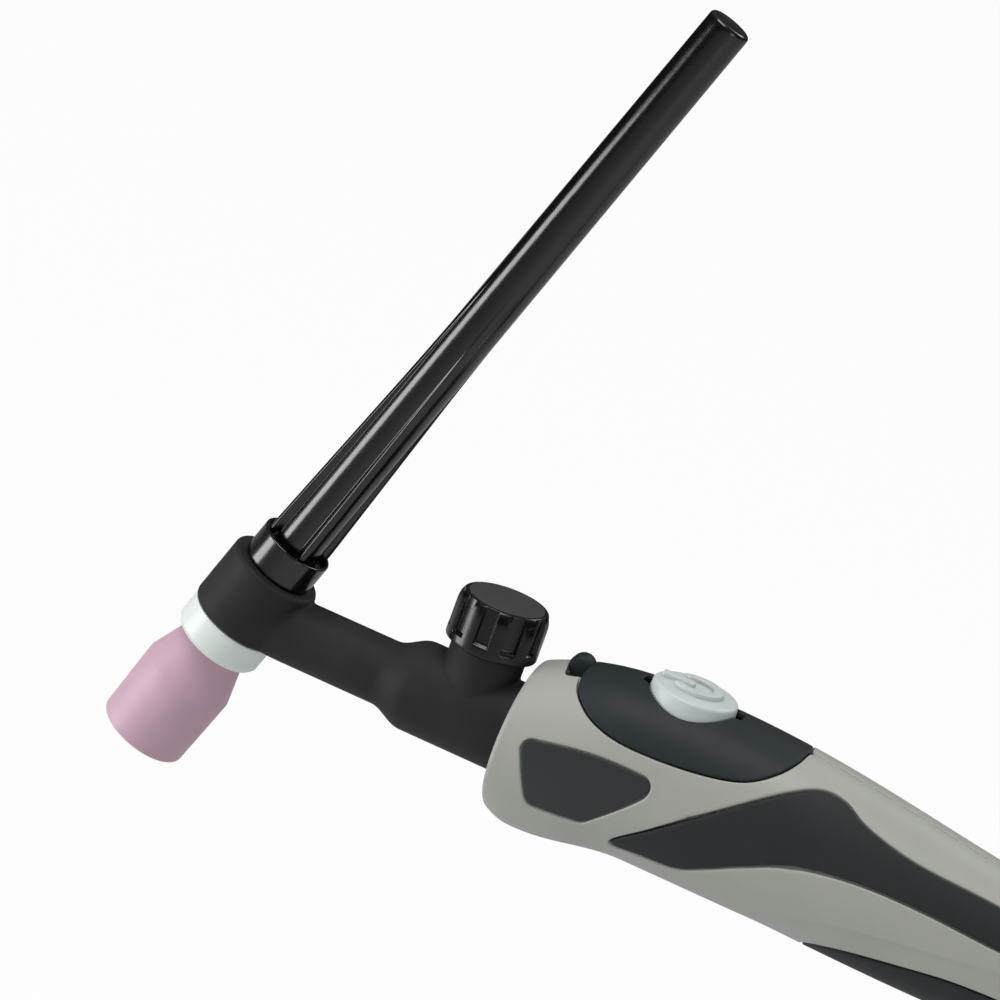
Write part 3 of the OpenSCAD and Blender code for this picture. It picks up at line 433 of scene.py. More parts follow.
def layer(domain, inner, top, holes=(), edge=0.3, seam=(), shape=None, extra=()):
    """A closed layer of the handle's skin over a domain loop, from a top depth to an inner depth.

    holes are (loop, depth): a pocket of that depth, or a way through where depth is None.
    edge is the rounding of its edges, and seam are the values of u at which the outer edge is
    a parting line. shape(flat, points) bends the top, and extra are rows of more points.
    """
    domain = leftward(domain)
    loops = [(leftward(loop), depth) for loop, depth in holes]
    extra = [np.asarray(row, float).reshape(-1, 2) for row in extra]
    free = list(extra)
    for loop, _ in loops:
        free += [offset(loop, -d) for d in RINGS]
    if not seam:
        free += [offset(domain, d) for d in RINGS]
    lo, hi = domain.min(0), domain.max(0)
    rows = []
    for i, u in enumerate(np.arange(lo[1] + SPACING * 0.6, hi[1], SPACING * 0.87)):
        row = np.arange(lo[0] + SPACING * (0.6 if i % 2 else 0.1), hi[0], SPACING)
        rows.append(np.stack([row, np.full(len(row), u)], 1))
    grid = np.concatenate(rows)
    row = np.arange(lo[0] + 0.4, hi[0], 0.8)
    for u in seam:
        side = 1 if u < (lo[1] + hi[1]) / 2 else -1
        free += [np.stack([row, np.full(len(row), u + side * d)], 1) for d in SEAM_ROWS]
    edges = [domain] + [loop for loop, _ in loops]
    keep = np.ones(len(grid), bool)
    for loop in edges:
        keep &= distance(grid, loop) > 1.15
    for row in extra:
        keep &= distance(grid, row, closed=False) > 0.3
    free = np.concatenate([grid[keep]] + free)
    free = free[within(free, domain)]
    points, constraint = [], []
    for loop in edges:
        base = len(points)
        points += loop.tolist()
        constraint += [(base + i, base + (i + 1) % len(loop)) for i in range(len(loop))]
    points += free.tolist()
    out = delaunay_2d_cdt([Vector(p) for p in points], constraint, [], 0, 1e-5)
    flat = np.array([tuple(p) for p in out[0]])
    faces = np.array([f for f in out[2] if len(f) == 3])
    middle = flat[faces].mean(1)
    label = np.zeros(len(faces), int)
    label[~within(middle, domain)] = -1
    for k, (loop, depth) in enumerate(loops):
        inside = within(middle, loop) & (label >= 0)
        label[inside] = k + 1 if depth is not None else -1
    tops = {0: np.full(len(flat), float(top))}
    for k, (loop, depth) in enumerate(loops):
        d = distance(flat, loop)
        tops[0] = np.maximum(tops[0], top + rounding(d, edge))
        if depth is not None:
            tops[k + 1] = np.full(len(flat), float(depth))
    for u in seam:
        tops[0] = np.maximum(tops[0], top + rounding(np.abs(flat[:, 1] - u), SEAM_EDGE))
    if not seam:
        tops[0] = np.maximum(tops[0], top + rounding(distance(flat, domain), edge))
    angle = flat[:, 1] / DEG
    levels = {k: skin(flat[:, 0], angle, depth) for k, depth in tops.items()}
    levels["in"] = skin(flat[:, 0], angle, np.full(len(flat), float(inner)))
    if shape is not None:
        levels[0] = shape(flat, levels[0])
    verts, table = [], {}

    def vertex(i, level):
        key = (int(i), level)
        if key not in table:
            table[key] = len(verts)
            verts.append(levels[level][i])
        return table[key]

    mesh_faces, edge_of = [], {}
    for f, k in zip(faces, label):
        if k < 0:
            continue
        mesh_faces.append([vertex(i, k) for i in f])
        mesh_faces.append([vertex(i, "in") for i in f[::-1]])
        for j in range(3):
            a, b = int(f[j]), int(f[(j + 1) % 3])
            edge_of.setdefault((min(a, b), max(a, b)), []).append((k, a, b))
    for users in edge_of.values():
        if len(users) == 1:
            k, a, b = users[0]
            mesh_faces.append([vertex(b, k), vertex(a, k), vertex(a, "in"), vertex(b, "in")])
        elif users[0][0] != users[1][0]:
            (k, a, b), (k2, _, _) = users
            mesh_faces.append([vertex(b, k), vertex(a, k), vertex(a, k2), vertex(b, k2)])
    return verts, mesh_faces


def far(part):
    """(vertices, faces) mirrored to the far side."""
    return [(p[0], -p[1], p[2]) for p in part[0]], [tuple(f)[::-1] for f in part[1]]


# ---- Materials -----------------------------------------------------------------------
def colour(value):
    """A colour as it shows on a screen, 0 to 255, as the linear value that a shader takes."""
    return tuple((c / 255) / 12.92 if c <= 10 else ((c / 255 + 0.055) / 1.055) ** 2.4
                 for c in value) + (1,)


def math_node(tree, operation, *values):
    """The output of a Math node whose inputs are sockets or numbers."""
    node = tree.nodes.new("ShaderNodeMath")
    node.operation = operation
    for k, value in enumerate(values):
        if isinstance(value, (int, float)):
            node.inputs[k].default_value = value
        else:
            tree.links.new(value, node.inputs[k])
    return node.outputs[0]


def material(name, shade, rough, spread=0.06, metallic=0.0, grain=None, bump=0.0, mottle=60,
             rough_spread=0.08, specular=0.5, edges=0.0, subsurface=0.0):
    """Principled material with a fine bump, slow shifts of colour and roughness, and worn edges."""
    m = bpy.data.materials.new(name)
    m.use_nodes = True
    nodes, links = m.node_tree.nodes, m.node_tree.links
    shader = nodes["Principled BSDF"]
    place = nodes.new("ShaderNodeTexCoord")

    def noise(scale, detail, roughness=0.55):
        node = nodes.new("ShaderNodeTexNoise")
        node.inputs["Scale"].default_value = scale
        node.inputs["Detail"].default_value = detail
        node.inputs["Roughness"].default_value = roughness
        links.new(place.outputs["Object"], node.inputs["Vector"])
        return node.outputs["Fac"]

    base = colour(shade)
    ramp = nodes.new("ShaderNodeValToRGB")
    low = tuple(c * (1 - spread) for c in base[:3]) + (1,)
    high = tuple(min(1, c * (1 + spread)) for c in base[:3]) + (1,)
    for element, tone, at in zip(ramp.color_ramp.elements, (low, high), (0.3, 0.7)):
        element.color, element.position = tone, at
    links.new(noise(mottle, 4), ramp.inputs["Fac"])
    out = ramp.outputs["Color"]
    if edges:
        geometry = nodes.new("ShaderNodeNewGeometry")
        worn = nodes.new("ShaderNodeMapRange")
        worn.inputs["From Min"].default_value, worn.inputs["From Max"].default_value = 0.53, 0.62
        links.new(geometry.outputs["Pointiness"], worn.inputs["Value"])
        mix = nodes.new("ShaderNodeMix")
        mix.data_type = "RGBA"
        links.new(math_node(m.node_tree, "MULTIPLY", worn.outputs["Result"], edges), mix.inputs[0])
        links.new(out, mix.inputs[6])
        mix.inputs[7].default_value = tuple(min(1, c * 1.6 + 0.03) for c in base[:3]) + (1,)
        out = mix.outputs[2]
    links.new(out, shader.inputs["Base Color"])
    vary = nodes.new("ShaderNodeMapRange")
    vary.inputs["To Min"].default_value = max(0.02, rough - rough_spread)
    vary.inputs["To Max"].default_value = min(1, rough + rough_spread)
    links.new(noise(mottle * 4, 5, 0.6), vary.inputs["Value"])
    links.new(vary.outputs["Result"], shader.inputs["Roughness"])
    if grain:
        bumps = nodes.new("ShaderNodeBump")
        bumps.inputs["Strength"].default_value = 1.0
        bumps.inputs["Distance"].default_value = bump
        links.new(noise(grain, 2, 0.5), bumps.inputs["Height"])
        links.new(bumps.outputs["Normal"], shader.inputs["Normal"])
    shader.inputs["Metallic"].default_value = metallic
    shader.inputs["Specular IOR Level"].default_value = specular
    if subsurface:
        shader.inputs["Subsurface Weight"].default_value = subsurface
        shader.inputs["Subsurface Radius"].default_value = (1.0, 1.0, 1.0)
        shader.inputs["Subsurface Scale"].default_value = 0.0015
    return m


SHELL = material("shell_grey", (157, 159, 152), 0.46, spread=0.03, grain=5200, bump=0.00002,
                 edges=0.25)
GRIP = material("grip_soft", (33, 39, 40), 0.62, spread=0.08, grain=6500, bump=0.000025,
                specular=0.3, edges=0.3)
BADGE = material("badge_dark", (45, 50, 50), 0.42, spread=0.05, grain=3000, bump=0.000008,
                 specular=0.3, edges=0.2)
INLAY = material("panel_dark", (30, 38, 41), 0.56, grain=5600, bump=0.00002,
                 specular=0.3, edges=0.3)
SWITCH = material("switch_plastic", (44, 48, 52), 0.5, grain=3000, bump=0.00002)
PLUNGER = material("plunger_red", (142, 50, 42), 0.45, grain=3000, bump=0.00002)
BUTTON_M = material("button_grey", (191, 198, 198), 0.42, spread=0.025, grain=4200, bump=0.000012,
                    edges=0.2)
SILICONE = material("silicone_black", (40, 40, 41), 0.6, spread=0.12, grain=4600, bump=0.00003,
                    mottle=110, specular=0.15)
KNOB = material("knob_gloss", (6, 6, 7), 0.22, spread=0.05, grain=1800, bump=0.00001,
                rough_spread=0.05)
DISC = material("disc_matte", (60, 60, 60), 0.6, grain=5200, bump=0.00002, specular=0.3)
CAP = material("cap_gloss", (6, 6, 7), 0.19, spread=0.05, grain=420, bump=0.00002,
               rough_spread=0.04, specular=0.7)
GASKET = material("gasket_white", (211, 219, 215), 0.34, spread=0.02, grain=2200, bump=0.000012,
                  subsurface=0.25)
CUP = material("cup_alumina", (188, 155, 173), 0.5, spread=0.045, grain=3800, bump=0.00002,
               mottle=90, subsurface=0.2)
BRASS = material("brass_turned", (205, 172, 92), 0.3, metallic=1.0, grain=900, bump=0.00001)
COPPER = material("copper_drawn", (196, 120, 84), 0.32, spread=0.08, metallic=1.0, grain=900,
                  bump=0.00001)
STEEL = material("steel_plated", (188, 190, 192), 0.28, spread=0.04, metallic=1.0, grain=1400,
                 bump=0.00001)
TUNGSTEN = material("tungsten_ground", (146, 146, 150), 0.34, spread=0.08, metallic=1.0,
                    grain=2600, bump=0.00001)
O_RING = material("o_ring_rubber", (40, 36, 33), 0.5, grain=3000, bump=0.00002)

# Pieces that are shown as the CAD has them
plain = {
    SWITCH: ["switch_housing", "microswitch"], PLUNGER: ["microswitch_plunger"],
    STEEL: ["microswitch_terminals", "handle_screws", "button_spring", "knob_screw"],
    BRASS: ["head_core", "power_cable_fitting", "water_hose_barb", "gas_hose_barb", "valve_block",
            "valve_gland_nut", "valve_stem"],
    COPPER: ["power_tube", "water_tube", "gas_tube_front", "gas_tube_rear", "collet_body",
             "collet"],
    O_RING: ["valve_stem_o_ring", "back_cap_o_ring"], INLAY: ["cable_inlet_collar"],
}
for finish, names in plain.items():
    for name in names:
        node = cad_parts[name]
        node.data.materials.clear()
        node.data.materials.append(finish)

# ---- Torch body ----------------------------------------------------------------------
tilt = np.array([[math.cos(HEAD_TILT), 0, -math.sin(HEAD_TILT)], [0, 1, 0],
                 [math.sin(HEAD_TILT), 0, math.cos(HEAD_TILT)]])
BARREL_EDGE, BARREL_BLEND, BOSS_BLEND, CROWNING = 0.8, 0.7, 0.35, 0.055
HOLD_R, HOLD_S, HOLD_HALF = 10.6, 4.6, 1.5  # the ring that holds the body in the handle
CORE_R, CORE_TOP, MOUTH_R, MOUTH_LOW = 7.08, 10.9, 6.7, 10.0  # the holes through the barrel
VALVE_BORE_R, VALVE_BORE_LOW = 5.58, 1.0


def soft_min(a, b, k):
    """The lesser of two fields, with a blend of size k between them."""
    h = np.maximum(k - np.abs(a - b), 0) / k
    return np.minimum(a, b) - h * h * k / 4


def soft_max(a, b, k):
    return -soft_min(-a, -b, k)


def can(radial, low, high, r):
    """Rounded cylinder: radial is the distance to its side, low and high those to its ends."""
    d = np.stack([radial + r, np.maximum(low, high) + r], -1)
    return np.minimum(d.max(-1), 0) + np.linalg.norm(np.maximum(d, 0), axis=-1) - r


def body_field(p):
    """The body's field about the head: barrel, neck and boss, less the holes of head and valve."""
    x, y, z = p.T
    h = p @ tilt.T
    hr, hz = np.hypot(h[:, 0], h[:, 1]), h[:, 2]
    v = np.hypot(x - VALVE_X, y)
    barrel = can(hr - BARREL_R, BARREL_BOTTOM - hz, hz - BARREL_TOP, BARREL_EDGE)
    barrel = soft_max(barrel, BARREL_BOTTOM - hz, 0.3)
    radius = NECK_R + (BODY_R - NECK_R) * ease((x - SHOULDER_X) / SHOULDER_L)
    # The saddle under the boss stands a little higher than the rest of the body
    crowned = np.where(z > 0, z / (1 + CROWNING * ease((x - SHOULDER_X) / 6)), z)
    neck = np.maximum((np.hypot(y, crowned) - radius) * 0.93, np.maximum(-x, x - BODY_END))
    out = np.maximum(soft_min(barrel, neck, BARREL_BLEND), BARREL_BOTTOM - hz)
    out = soft_min(out, can(v - BOSS_R, -z, z - BOSS_TOP, BOSS_BLEND), BOSS_BLEND)
    hold = np.maximum(np.hypot(y, z) - HOLD_R, np.abs(x - HANDLE_FRONT - HOLD_S) - HOLD_HALF)
    out = np.minimum(out, hold)
    out = np.maximum(out, -np.maximum(hr - CORE_R, hz - CORE_TOP))
    out = np.maximum(out, -np.maximum(hr - MOUTH_R, MOUTH_LOW - hz))
    return np.maximum(out, -np.maximum(v - VALVE_BORE_R, VALVE_BORE_LOW - z))


piece("torch_body_moulding", *iso(body_field, (-15, -11.4, -13), (BODY_END + 1, 11.4, 17), 0.42),
      SILICONE, "handle", "body_rubber", at=placed(-REACH), replaces=["torch_body"], weighted=False)

# ---- Handle --------------------------------------------------------------------------
# Outlines in the side view (s, z), s from the handle's front
SIDE = [(27.4, -8.4), (34.3, -1.9), (42.3, 5), (50, 11.3), (56, 15.5), (61, 17.6), (66, 17.3),
        (72, 14.9), (83, 12.5), (100, 11), (117, 8.6), (128, 5.6), (120, 3.8), (103, 4.4),
        (87, 5.6), (74, 5.6), (62, 3.6), (52.7, -0.8), (46, -4.8), (41, -7.5), (34, -8.3)]
UNDERSIDE = [(68, -12.5), (71.5, -10.8), (78, -8.9), (88, -7), (98, -5.6), (110, -5.4), (119, -7),
             (124, -10.5), (125, -14)]
PANEL = [(9.7, 18), (11.2, 15.8), (16.5, 13), (24, 11.7), (36, 12.2), (46.6, 14.2), (52.8, 18),
         (56.1, 22)]
BADGE_CENTRES, BADGE_CORNER = [(7.4, 3), (29.2, 5.5), (20, -4.6), (11, -5.5)], 2.1
CREASE = [(50, -12.4), (54.5, -11.0), (60, -8.5), (66.7, -6.1), (76.2, -3.6), (85.7, -2.0),
          (95.3, -0.8), (104.8, 0.4), (116, 1.3), (124, 1.6)]
UNDER = 180 * DEG  # u of the line along the underside
STEP = 0.42  # between the points of an outline


def hull_round(centres, r):
    """Outline round circles of radius r whose centres run clockwise in the side view."""
    out, n, steps = [], len(centres), 10
    c = np.array(centres, float)
    for i in range(n):
        before, after = c[i] - c[i - 1], c[(i + 1) % n] - c[i]
        a0 = math.atan2(before[1], before[0]) + math.pi / 2
        a1 = math.atan2(after[1], after[0]) + math.pi / 2
        turn = (a1 - a0 + math.pi) % (2 * math.pi) - math.pi
        for k in range(steps + 1):
            angle = a0 + turn * k / steps
            out.append(c[i] + r * np.array([math.cos(angle), math.sin(angle)]))
    return np.array(out)


def both_sides(points, middle):
    """A closed loop from an open outline of the near side and its mirror image over u = middle."""
    near = to_skin(smooth(points, 8, closed=False))
    near = np.vstack([[points[0][0], middle], near, [points[-1][0], middle]])
    mirrored = np.stack([near[:, 0], 2 * middle - near[:, 1]], 1)
    return spaced(np.vstack([near, mirrored[::-1][1:-1]]), STEP)


side_loop = spaced(to_skin(smooth(SIDE, 8)), STEP)
badge_loop = spaced(to_skin(hull_round(BADGE_CENTRES, BADGE_CORNER)), STEP)
panel_loop = both_sides(PANEL, 0)
under_loop = both_sides(UNDERSIDE, UNDER)

# The button's well, with a slot at each end for its lugs
WELL_R, SLOT_HALF, SLOT_REACH = BUTTON_R + 0.3, 1.9, LUG_R + 0.05
hole_angles = np.radians(np.arange(0, 360, 3))
well = np.stack([BUTTON_S + WELL_R * np.cos(hole_angles), WELL_R * np.sin(hole_angles)], 1)
near_slot = np.abs(well[:, 1]) < SLOT_HALF
well[near_slot, 0] = BUTTON_S + np.sign(well[near_slot, 0] - BUTTON_S) * SLOT_REACH
corners = []
for i, p in enumerate(well):
    if i and near_slot[i] != near_slot[i - 1]:
        edge = p if near_slot[i] else well[i - 1]
        corners.append([edge[0], math.copysign(SLOT_HALF, p[1])])
    corners.append(p)
well_loop = spaced(over_skin(corners), 0.35)

# The pocket of the cross bar in front of the panel
NUB_S, NUB_R, NUB_Z, NUB_W, POCKET_W = 8.1, 2.5, 17.9, 2.3, 6.2
POCKET_FRONT, POCKET_REAR = NUB_S - 1.6, NUB_S + 2.8
notch = rounded([(POCKET_FRONT, -POCKET_W, 1.6), (POCKET_REAR, -POCKET_W, 2),
                 (POCKET_REAR, POCKET_W, 2), (POCKET_FRONT, POCKET_W, 1.6), (NUB_S - 2.7, 0, 3)], 6)
notch_loop = over_skin(spaced(notch, 0.3))


def crease(flat, points):
    """The soft ridge along the handle's lower side: the skin drops a little below its line."""
    line = spaced(to_skin(smooth(CREASE, 6, closed=False)), 0.6, closed=False)
    s, u = flat.T
    d = distance(flat, line, closed=False)
    below = u > np.interp(s, line[:, 0], line[:, 1])
    fade = ease((s - 50) / 14) * (1 - ease((s - 112) / 12))
    drop = np.where(below, 0.42 * (1 - np.exp(-d / 1.1)) * np.exp(-d / 7), 0.0) * fade
    middle = np.stack([points[:, 0], np.zeros(len(points)), (top_z(s) + bottom_z(s)) / 2], 1)
    outward = points - middle
    outward /= np.linalg.norm(outward, axis=1)[:, None]
    return points - outward * drop[:, None]


FACE_IN = -5.0  # places below 0 lie on the handle's front face, in from its rim
rim = [(FACE_IN, 0), (HANDLE_L, 0), (HANDLE_L, UNDER), (FACE_IN, UNDER)]
half_skin = []
for a, b in zip(rim, rim[1:] + rim[:1]):
    k = int(np.hypot(b[0] - a[0], b[1] - a[1]) / 0.9)
    half_skin += [(a[0] + (b[0] - a[0]) * i / k, a[1] + (b[1] - a[1]) * i / k) for i in range(k)]
front_rows = [(s, u) for s in (0, 0.06, 0.16, 0.3, 0.5, 0.75, 1.0, 1.4)
              for u in np.arange(0.4, UNDER, 0.8)]
crease_line = to_skin(smooth(CREASE, 16, closed=False))
crease_rows = [crease_line + [0, d] for d in (-0.25, 0.0, 0.25, 0.6, 1.1)]
GROOVE = 0.38  # the gap round an inlaid piece
pockets = [(grown(side_loop, GROOVE), 1.2), (grown(badge_loop, GROOVE * 0.8), 0.8),
           (grown(panel_loop, GROOVE * 0.8), 1.6), (grown(under_loop, GROOVE), 1.2),
           (notch_loop, 2.4), (grown(well_loop, 0.8), None)]
shell_look = dict(edge=0.34, seam=(0.0, UNDER), shape=crease, extra=[front_rows] + crease_rows)
piece("handle_shell_left_moulding", *layer(half_skin, WALL, 0.0, holes=pockets, **shell_look),
      SHELL, "handle", "shell", at=HANDLE, replaces=["handle_shell_left"])

# The far half has a deep bore over each screw
BORE_R, BORE_OUT, SHANK_R, SEAT_Y, SEAT_T = 2.8, 3.5, 1.6, 4.0, 0.6
circle = np.radians(np.arange(0, 360, 9))


def ring_at(s0, z0, r):
    """A circle in the side view round a screw."""
    return np.stack([s0 + r * np.cos(circle), z0 + r * np.sin(circle)], 1)


def bore(s0, z0):
    """The wall and seat of a screw's bore, from the shell's thickness down to the screw's head."""
    rows, faces, n = [], [], len(circle)
    section = ((SHANK_R, SEAT_Y - SEAT_T), (BORE_OUT, SEAT_Y - SEAT_T), (BORE_OUT, None),
               (BORE_R, None), (BORE_R, SEAT_Y), (SHANK_R, SEAT_Y))
    for r, level in section:
        flat = ring_at(s0, z0, r)
        depth = np.abs(skin(flat[:, 0], angle_at(flat[:, 0], flat[:, 1]), 0)[:, 1]) - WALL / 2
        y = depth if level is None else np.full(n, level)
        rows += [(p[0], q, p[1]) for p, q in zip(flat, y)]
    for k in range(len(section)):
        a, b = k * n, (k + 1) % len(section) * n
        faces += [(a + i, a + (i + 1) % n, b + (i + 1) % n, b + i) for i in range(n)]
    return rows, faces


screw_holes = [(spaced(to_skin(ring_at(*place, BORE_R)), 0.35), None) for place in SCREWS]
far_part = layer(half_skin, WALL, 0.0, holes=pockets + screw_holes, **shell_look)
piece("handle_shell_right_moulding", *joined(far(far_part), *[bore(*place) for place in SCREWS]),
      SHELL, "handle", "shell", at=HANDLE, replaces=["handle_shell_right"])

grip_part = layer(side_loop, 1.1, 0.04, edge=0.42)
piece("side_grip_left_pad", *grip_part, GRIP, "handle", "grip", at=HANDLE,
      replaces=["side_grip_left"])
piece("side_grip_right_pad", *far(grip_part), GRIP, "handle", "grip", at=HANDLE,
      replaces=["side_grip_right"])
badge_part = layer(badge_loop, 0.7, 0.1, edge=0.25)
piece("badge_left_plate", *badge_part, BADGE, "handle", "badge", at=HANDLE,
      replaces=["badge_left"])
piece("badge_right_plate", *far(badge_part), BADGE, "handle", "badge", at=HANDLE,
      replaces=["badge_right"])
piece("underside_grip_pad", *layer(under_loop, 1.1, 0.04, edge=0.42), GRIP, "handle", "grip",
      at=HANDLE, replaces=["underside_grip"])
piece("switch_panel_plate", *layer(panel_loop, 1.5, 0.04, holes=[(well_loop, None)]), INLAY,
      "handle", "inlay", at=HANDLE, replaces=["switch_panel"])

# Guide ring under the panel, in which the button slides
ring = turned(rounded([(WELL_R, 14.5), (11.3, 14.5), (11.3, 16.2), (WELL_R, 17.2)]), 96)
piece("button_guide_ring", *ring, INLAY, "handle", "inlay", at=BUTTON)

# The cross bar in front of the panel, on which a lanyard loop sits
bar = rounded([(0, -NUB_W), (NUB_R, -NUB_W, 1.7), (NUB_R, NUB_W, 1.7), (0, NUB_W)], 7)
bar = moved(turned(split(bar, 0.5), 48),
            Matrix.Translation((0, 0, NUB_Z)) @ Matrix.Rotation(math.pi / 2, 4, "X"))
foot = moved(turned(rounded([(0, 14.8), (1.5, 14.8), (1.5, 17.2), (0, 17.2)]), 24),
             Matrix.Diagonal((1, 1.4, 1, 1)))
bridge = moved(turned(rounded([(0, -1.5), (1.2, -1.5, 0.3), (1.2, 1.5, 0.3), (0, 1.5)]), 24),
               Matrix.Translation((2.6, 0, 17.0)) @ Matrix.Rotation(math.pi / 2, 4, "Y"))
piece("lanyard_bar", *joined(bar, foot, bridge), INLAY, "handle", "inlay",
      at=placed(HANDLE_FRONT + NUB_S - REACH))

# ---- Button --------------------------------------------------------------------------
FACE, BUTTON_LOW, ROOF, SKIRT_IN, POST_R = BUTTON_TOP - 0.7, 15.4, 21.4, 7.5, 1.6
shape = rounded([(0, FACE), (3.5, FACE - 0.03, 3), (BUTTON_R - 0.15, FACE - 0.4, 0.75),
                 (BUTTON_R, BUTTON_TOP - 3.5, 2), (BUTTON_R, BUTTON_LOW), (SKIRT_IN, BUTTON_LOW),
                 (SKIRT_IN, ROOF), (POST_R, ROOF), (POST_R, BUTTON_LOW), (0, BUTTON_LOW)])
button = turned(split(shape, 0.8), 120)


def flat_loop_solid(loop, low, high, r=0.25):
    """A raised flat shape with rounded upper edges, from a closed loop drawn from above."""
    loop = leftward(loop)
    normal = normals(loop)
    rows = [(0.0, low)] + [(r * (1 - math.cos(a)), high - r * (1 - math.sin(a)))
                           for a in np.radians(range(0, 91, 18))]
    verts, faces, n = [], [], len(loop)
    for inset, z in rows:
        verts += [(*p, z) for p in (loop + normal * inset)]
    for k in range(len(rows) - 1):
        for i in range(n):
            j = (i + 1) % n
            faces.append((k * n + i, k * n + j, (k + 1) * n + j, (k + 1) * n + i))
    ends = ((0, loop, -1), ((len(rows) - 1) * n, [v[:2] for v in verts[-n:]], 1))
    for base, outline, way in ends:
        sides = [(i, (i + 1) % n) for i in range(n)]
        fill = delaunay_2d_cdt([Vector(v) for v in outline], sides, [], 1, 1e-6)
        faces += [tuple(base + fill[3][i][0] for i in f[::way]) for f in fill[2]]
    return verts, faces


# The raised on-off sign: an open ring and a bar
SIGN_OUT, SIGN_IN, SIGN_GAP = 5.3, 3.3, math.radians(40)
SIGN_LOW, SIGN_HIGH = FACE - 0.8, BUTTON_TOP + 0.15
arc = np.linspace(math.pi + SIGN_GAP, 3 * math.pi - SIGN_GAP, 90)
sign = [(SIGN_OUT * math.cos(a), SIGN_OUT * math.sin(a)) for a in arc]
sign += [(SIGN_IN * math.cos(a), SIGN_IN * math.sin(a)) for a in arc[::-1]]
bar = rounded([(-7.3, -1.0, 0.5), (-0.6, -1.0, 0.5), (-0.6, 1.0, 0.5), (-7.3, 1.0, 0.5)], 7)
raised = [flat_loop_solid(loop, SIGN_LOW, SIGN_HIGH) for loop in (spaced(sign, 0.35), bar)]
# The lugs at front and rear, which hold the button in its well
LUG_HALF, LUG_ROOT, LUG_TOP = 1.7, 8.2, 16.6
across = np.linspace(-LUG_HALF, LUG_HALF, 9)
for side in (-1, 1):
    loop = [(side * LUG_R, y) for y in across] + [(side * LUG_ROOT, y) for y in across[::-1]]
    raised.append(flat_loop_solid(spaced(loop, 0.5), BUTTON_LOW, LUG_TOP, 0.15))
piece("push_button", *joined(button, *raised), BUTTON_M, "button", "button", at=BUTTON,
      replaces=["trigger_button"])

# ---- Valve knob ----------------------------------------------------------------------
KNOB_R, KNOB_LOW, KNOB_TOP, SLOTS = 9.4, 13.9, 24.0, 10
SLOT_FLOOR, SLOT_HALF_ANGLE, SLOT_SIDE_ANGLE = 8.5, 9.9, 1.3
PITCH = 360 / SLOTS


def knob_radius(a, r, z):
    """The grip's radius at an angle: flat lobes between slots whose lower ends are closed."""
    if r < 8.05 or z < KNOB_LOW + 1.4:
        return r
    d = abs((math.degrees(a) + PITCH / 2) % PITCH - PITCH / 2)
    across = min(1.0, max(0.0, (SLOT_HALF_ANGLE - d) / SLOT_SIDE_ANGLE))
    ends = min(1.0, max(0.0, (z - KNOB_LOW - 2.0) / 0.5))
    return r - max(0.0, r - SLOT_FLOOR) * across * math.sin(ends * math.pi / 2)


TURN_IN, TURN_H, DISH_R, DISH_Z, HUB_R, HUB_Z = 1.3, 3.1, 7.9, 23, 2.7, 21.5
shape = [(0, 16), (6.2, 16), (6.2, KNOB_LOW), (KNOB_R, KNOB_LOW, 0.45), (KNOB_R, KNOB_LOW + 1.9)]
shape = rounded(shape, closed=False)
shape += [(KNOB_R - TURN_IN + TURN_IN * math.cos(a), KNOB_TOP - 0.1 - TURN_H + TURN_H * math.sin(a))
          for a in np.radians(range(0, 91, 6))]
shape += [(DISH_R, KNOB_TOP - 0.1), (DISH_R, DISH_Z), (HUB_R, DISH_Z), (HUB_R, HUB_Z), (0, HUB_Z)]
steps = np.array([0.0, 3.0, 6.0, 7.8, 8.4, 8.7, 9.0, 9.3, 9.6, 9.9, 10.3, 11.5, 14.0])
steps = np.concatenate([-steps[:0:-1], steps, [PITCH / 2]])
around = np.radians(np.concatenate([k * PITCH + steps for k in range(SLOTS)]))
piece("valve_knob_moulding", *turned(split(shape, 0.3), change=knob_radius, angles=around), KNOB,
      "valve_knob", "knob", at=VALVE @ Matrix.Rotation(math.radians(PITCH / 2), 4, "Z"),
      replaces=["valve_knob"])
DISC_R, DISC_LOW = 7.8, 23.02
shape = rounded([(0, DISC_LOW), (DISC_R, DISC_LOW), (DISC_R, KNOB_TOP, 0.15), (0, KNOB_TOP)])
piece("knob_disc", *turned(split(shape, 0.8), 120), DISC, "valve_knob", "knob_disc", at=VALVE,
      replaces=["knob_cap_disc"])

# ---- Back cap ------------------------------------------------------------------------
CAP_LOW, CAP_TOP, COLLAR_R, COLLAR_TOP = 11.4, 153.0, 7.6, 18.2
ROOT_R, TIP_R, RIB_L, RIB_R, RIB_HALF, RECESS_R = 4.9, 4.4, 66.0, 7.0, 0.75, 6.9
RIBS = [math.radians(-58 + 90 * k) for k in range(4)]
BODY_LOW, CAP_BORE_R, CAP_START, FILLET = COLLAR_TOP - 1, 1.7, 5.2, 0.7


def cap_radius(a, r, z):
    """The body's radius with its ribs, plates with a rounded edge and a fillet at their roots."""
    if z <= BODY_LOW or r > 5.0 or z > COLLAR_TOP + RIB_L + 4:
        return r
    reach = min(RIB_R + (TIP_R - RIB_R) * (z - BODY_LOW + 1) / (RIB_L + 2), RECESS_R - 0.05)
    d = min(abs((a - f + math.pi) % (2 * math.pi) - math.pi) for f in RIBS)
    if d > 0.5 or reach < r - 0.6:
        return r
    low, high = 0.0, reach * 1.1
    for _ in range(18):
        p = (low + high) / 2
        outside = (p * math.sin(d) / RIB_HALF) ** 4 + (p * math.cos(d) / reach) ** 24 > 1
        low, high = (low, p) if outside else (p, high)
    h = max(FILLET - abs(low - r), 0) / FILLET
    return max(low, r) + h * h * FILLET / 4


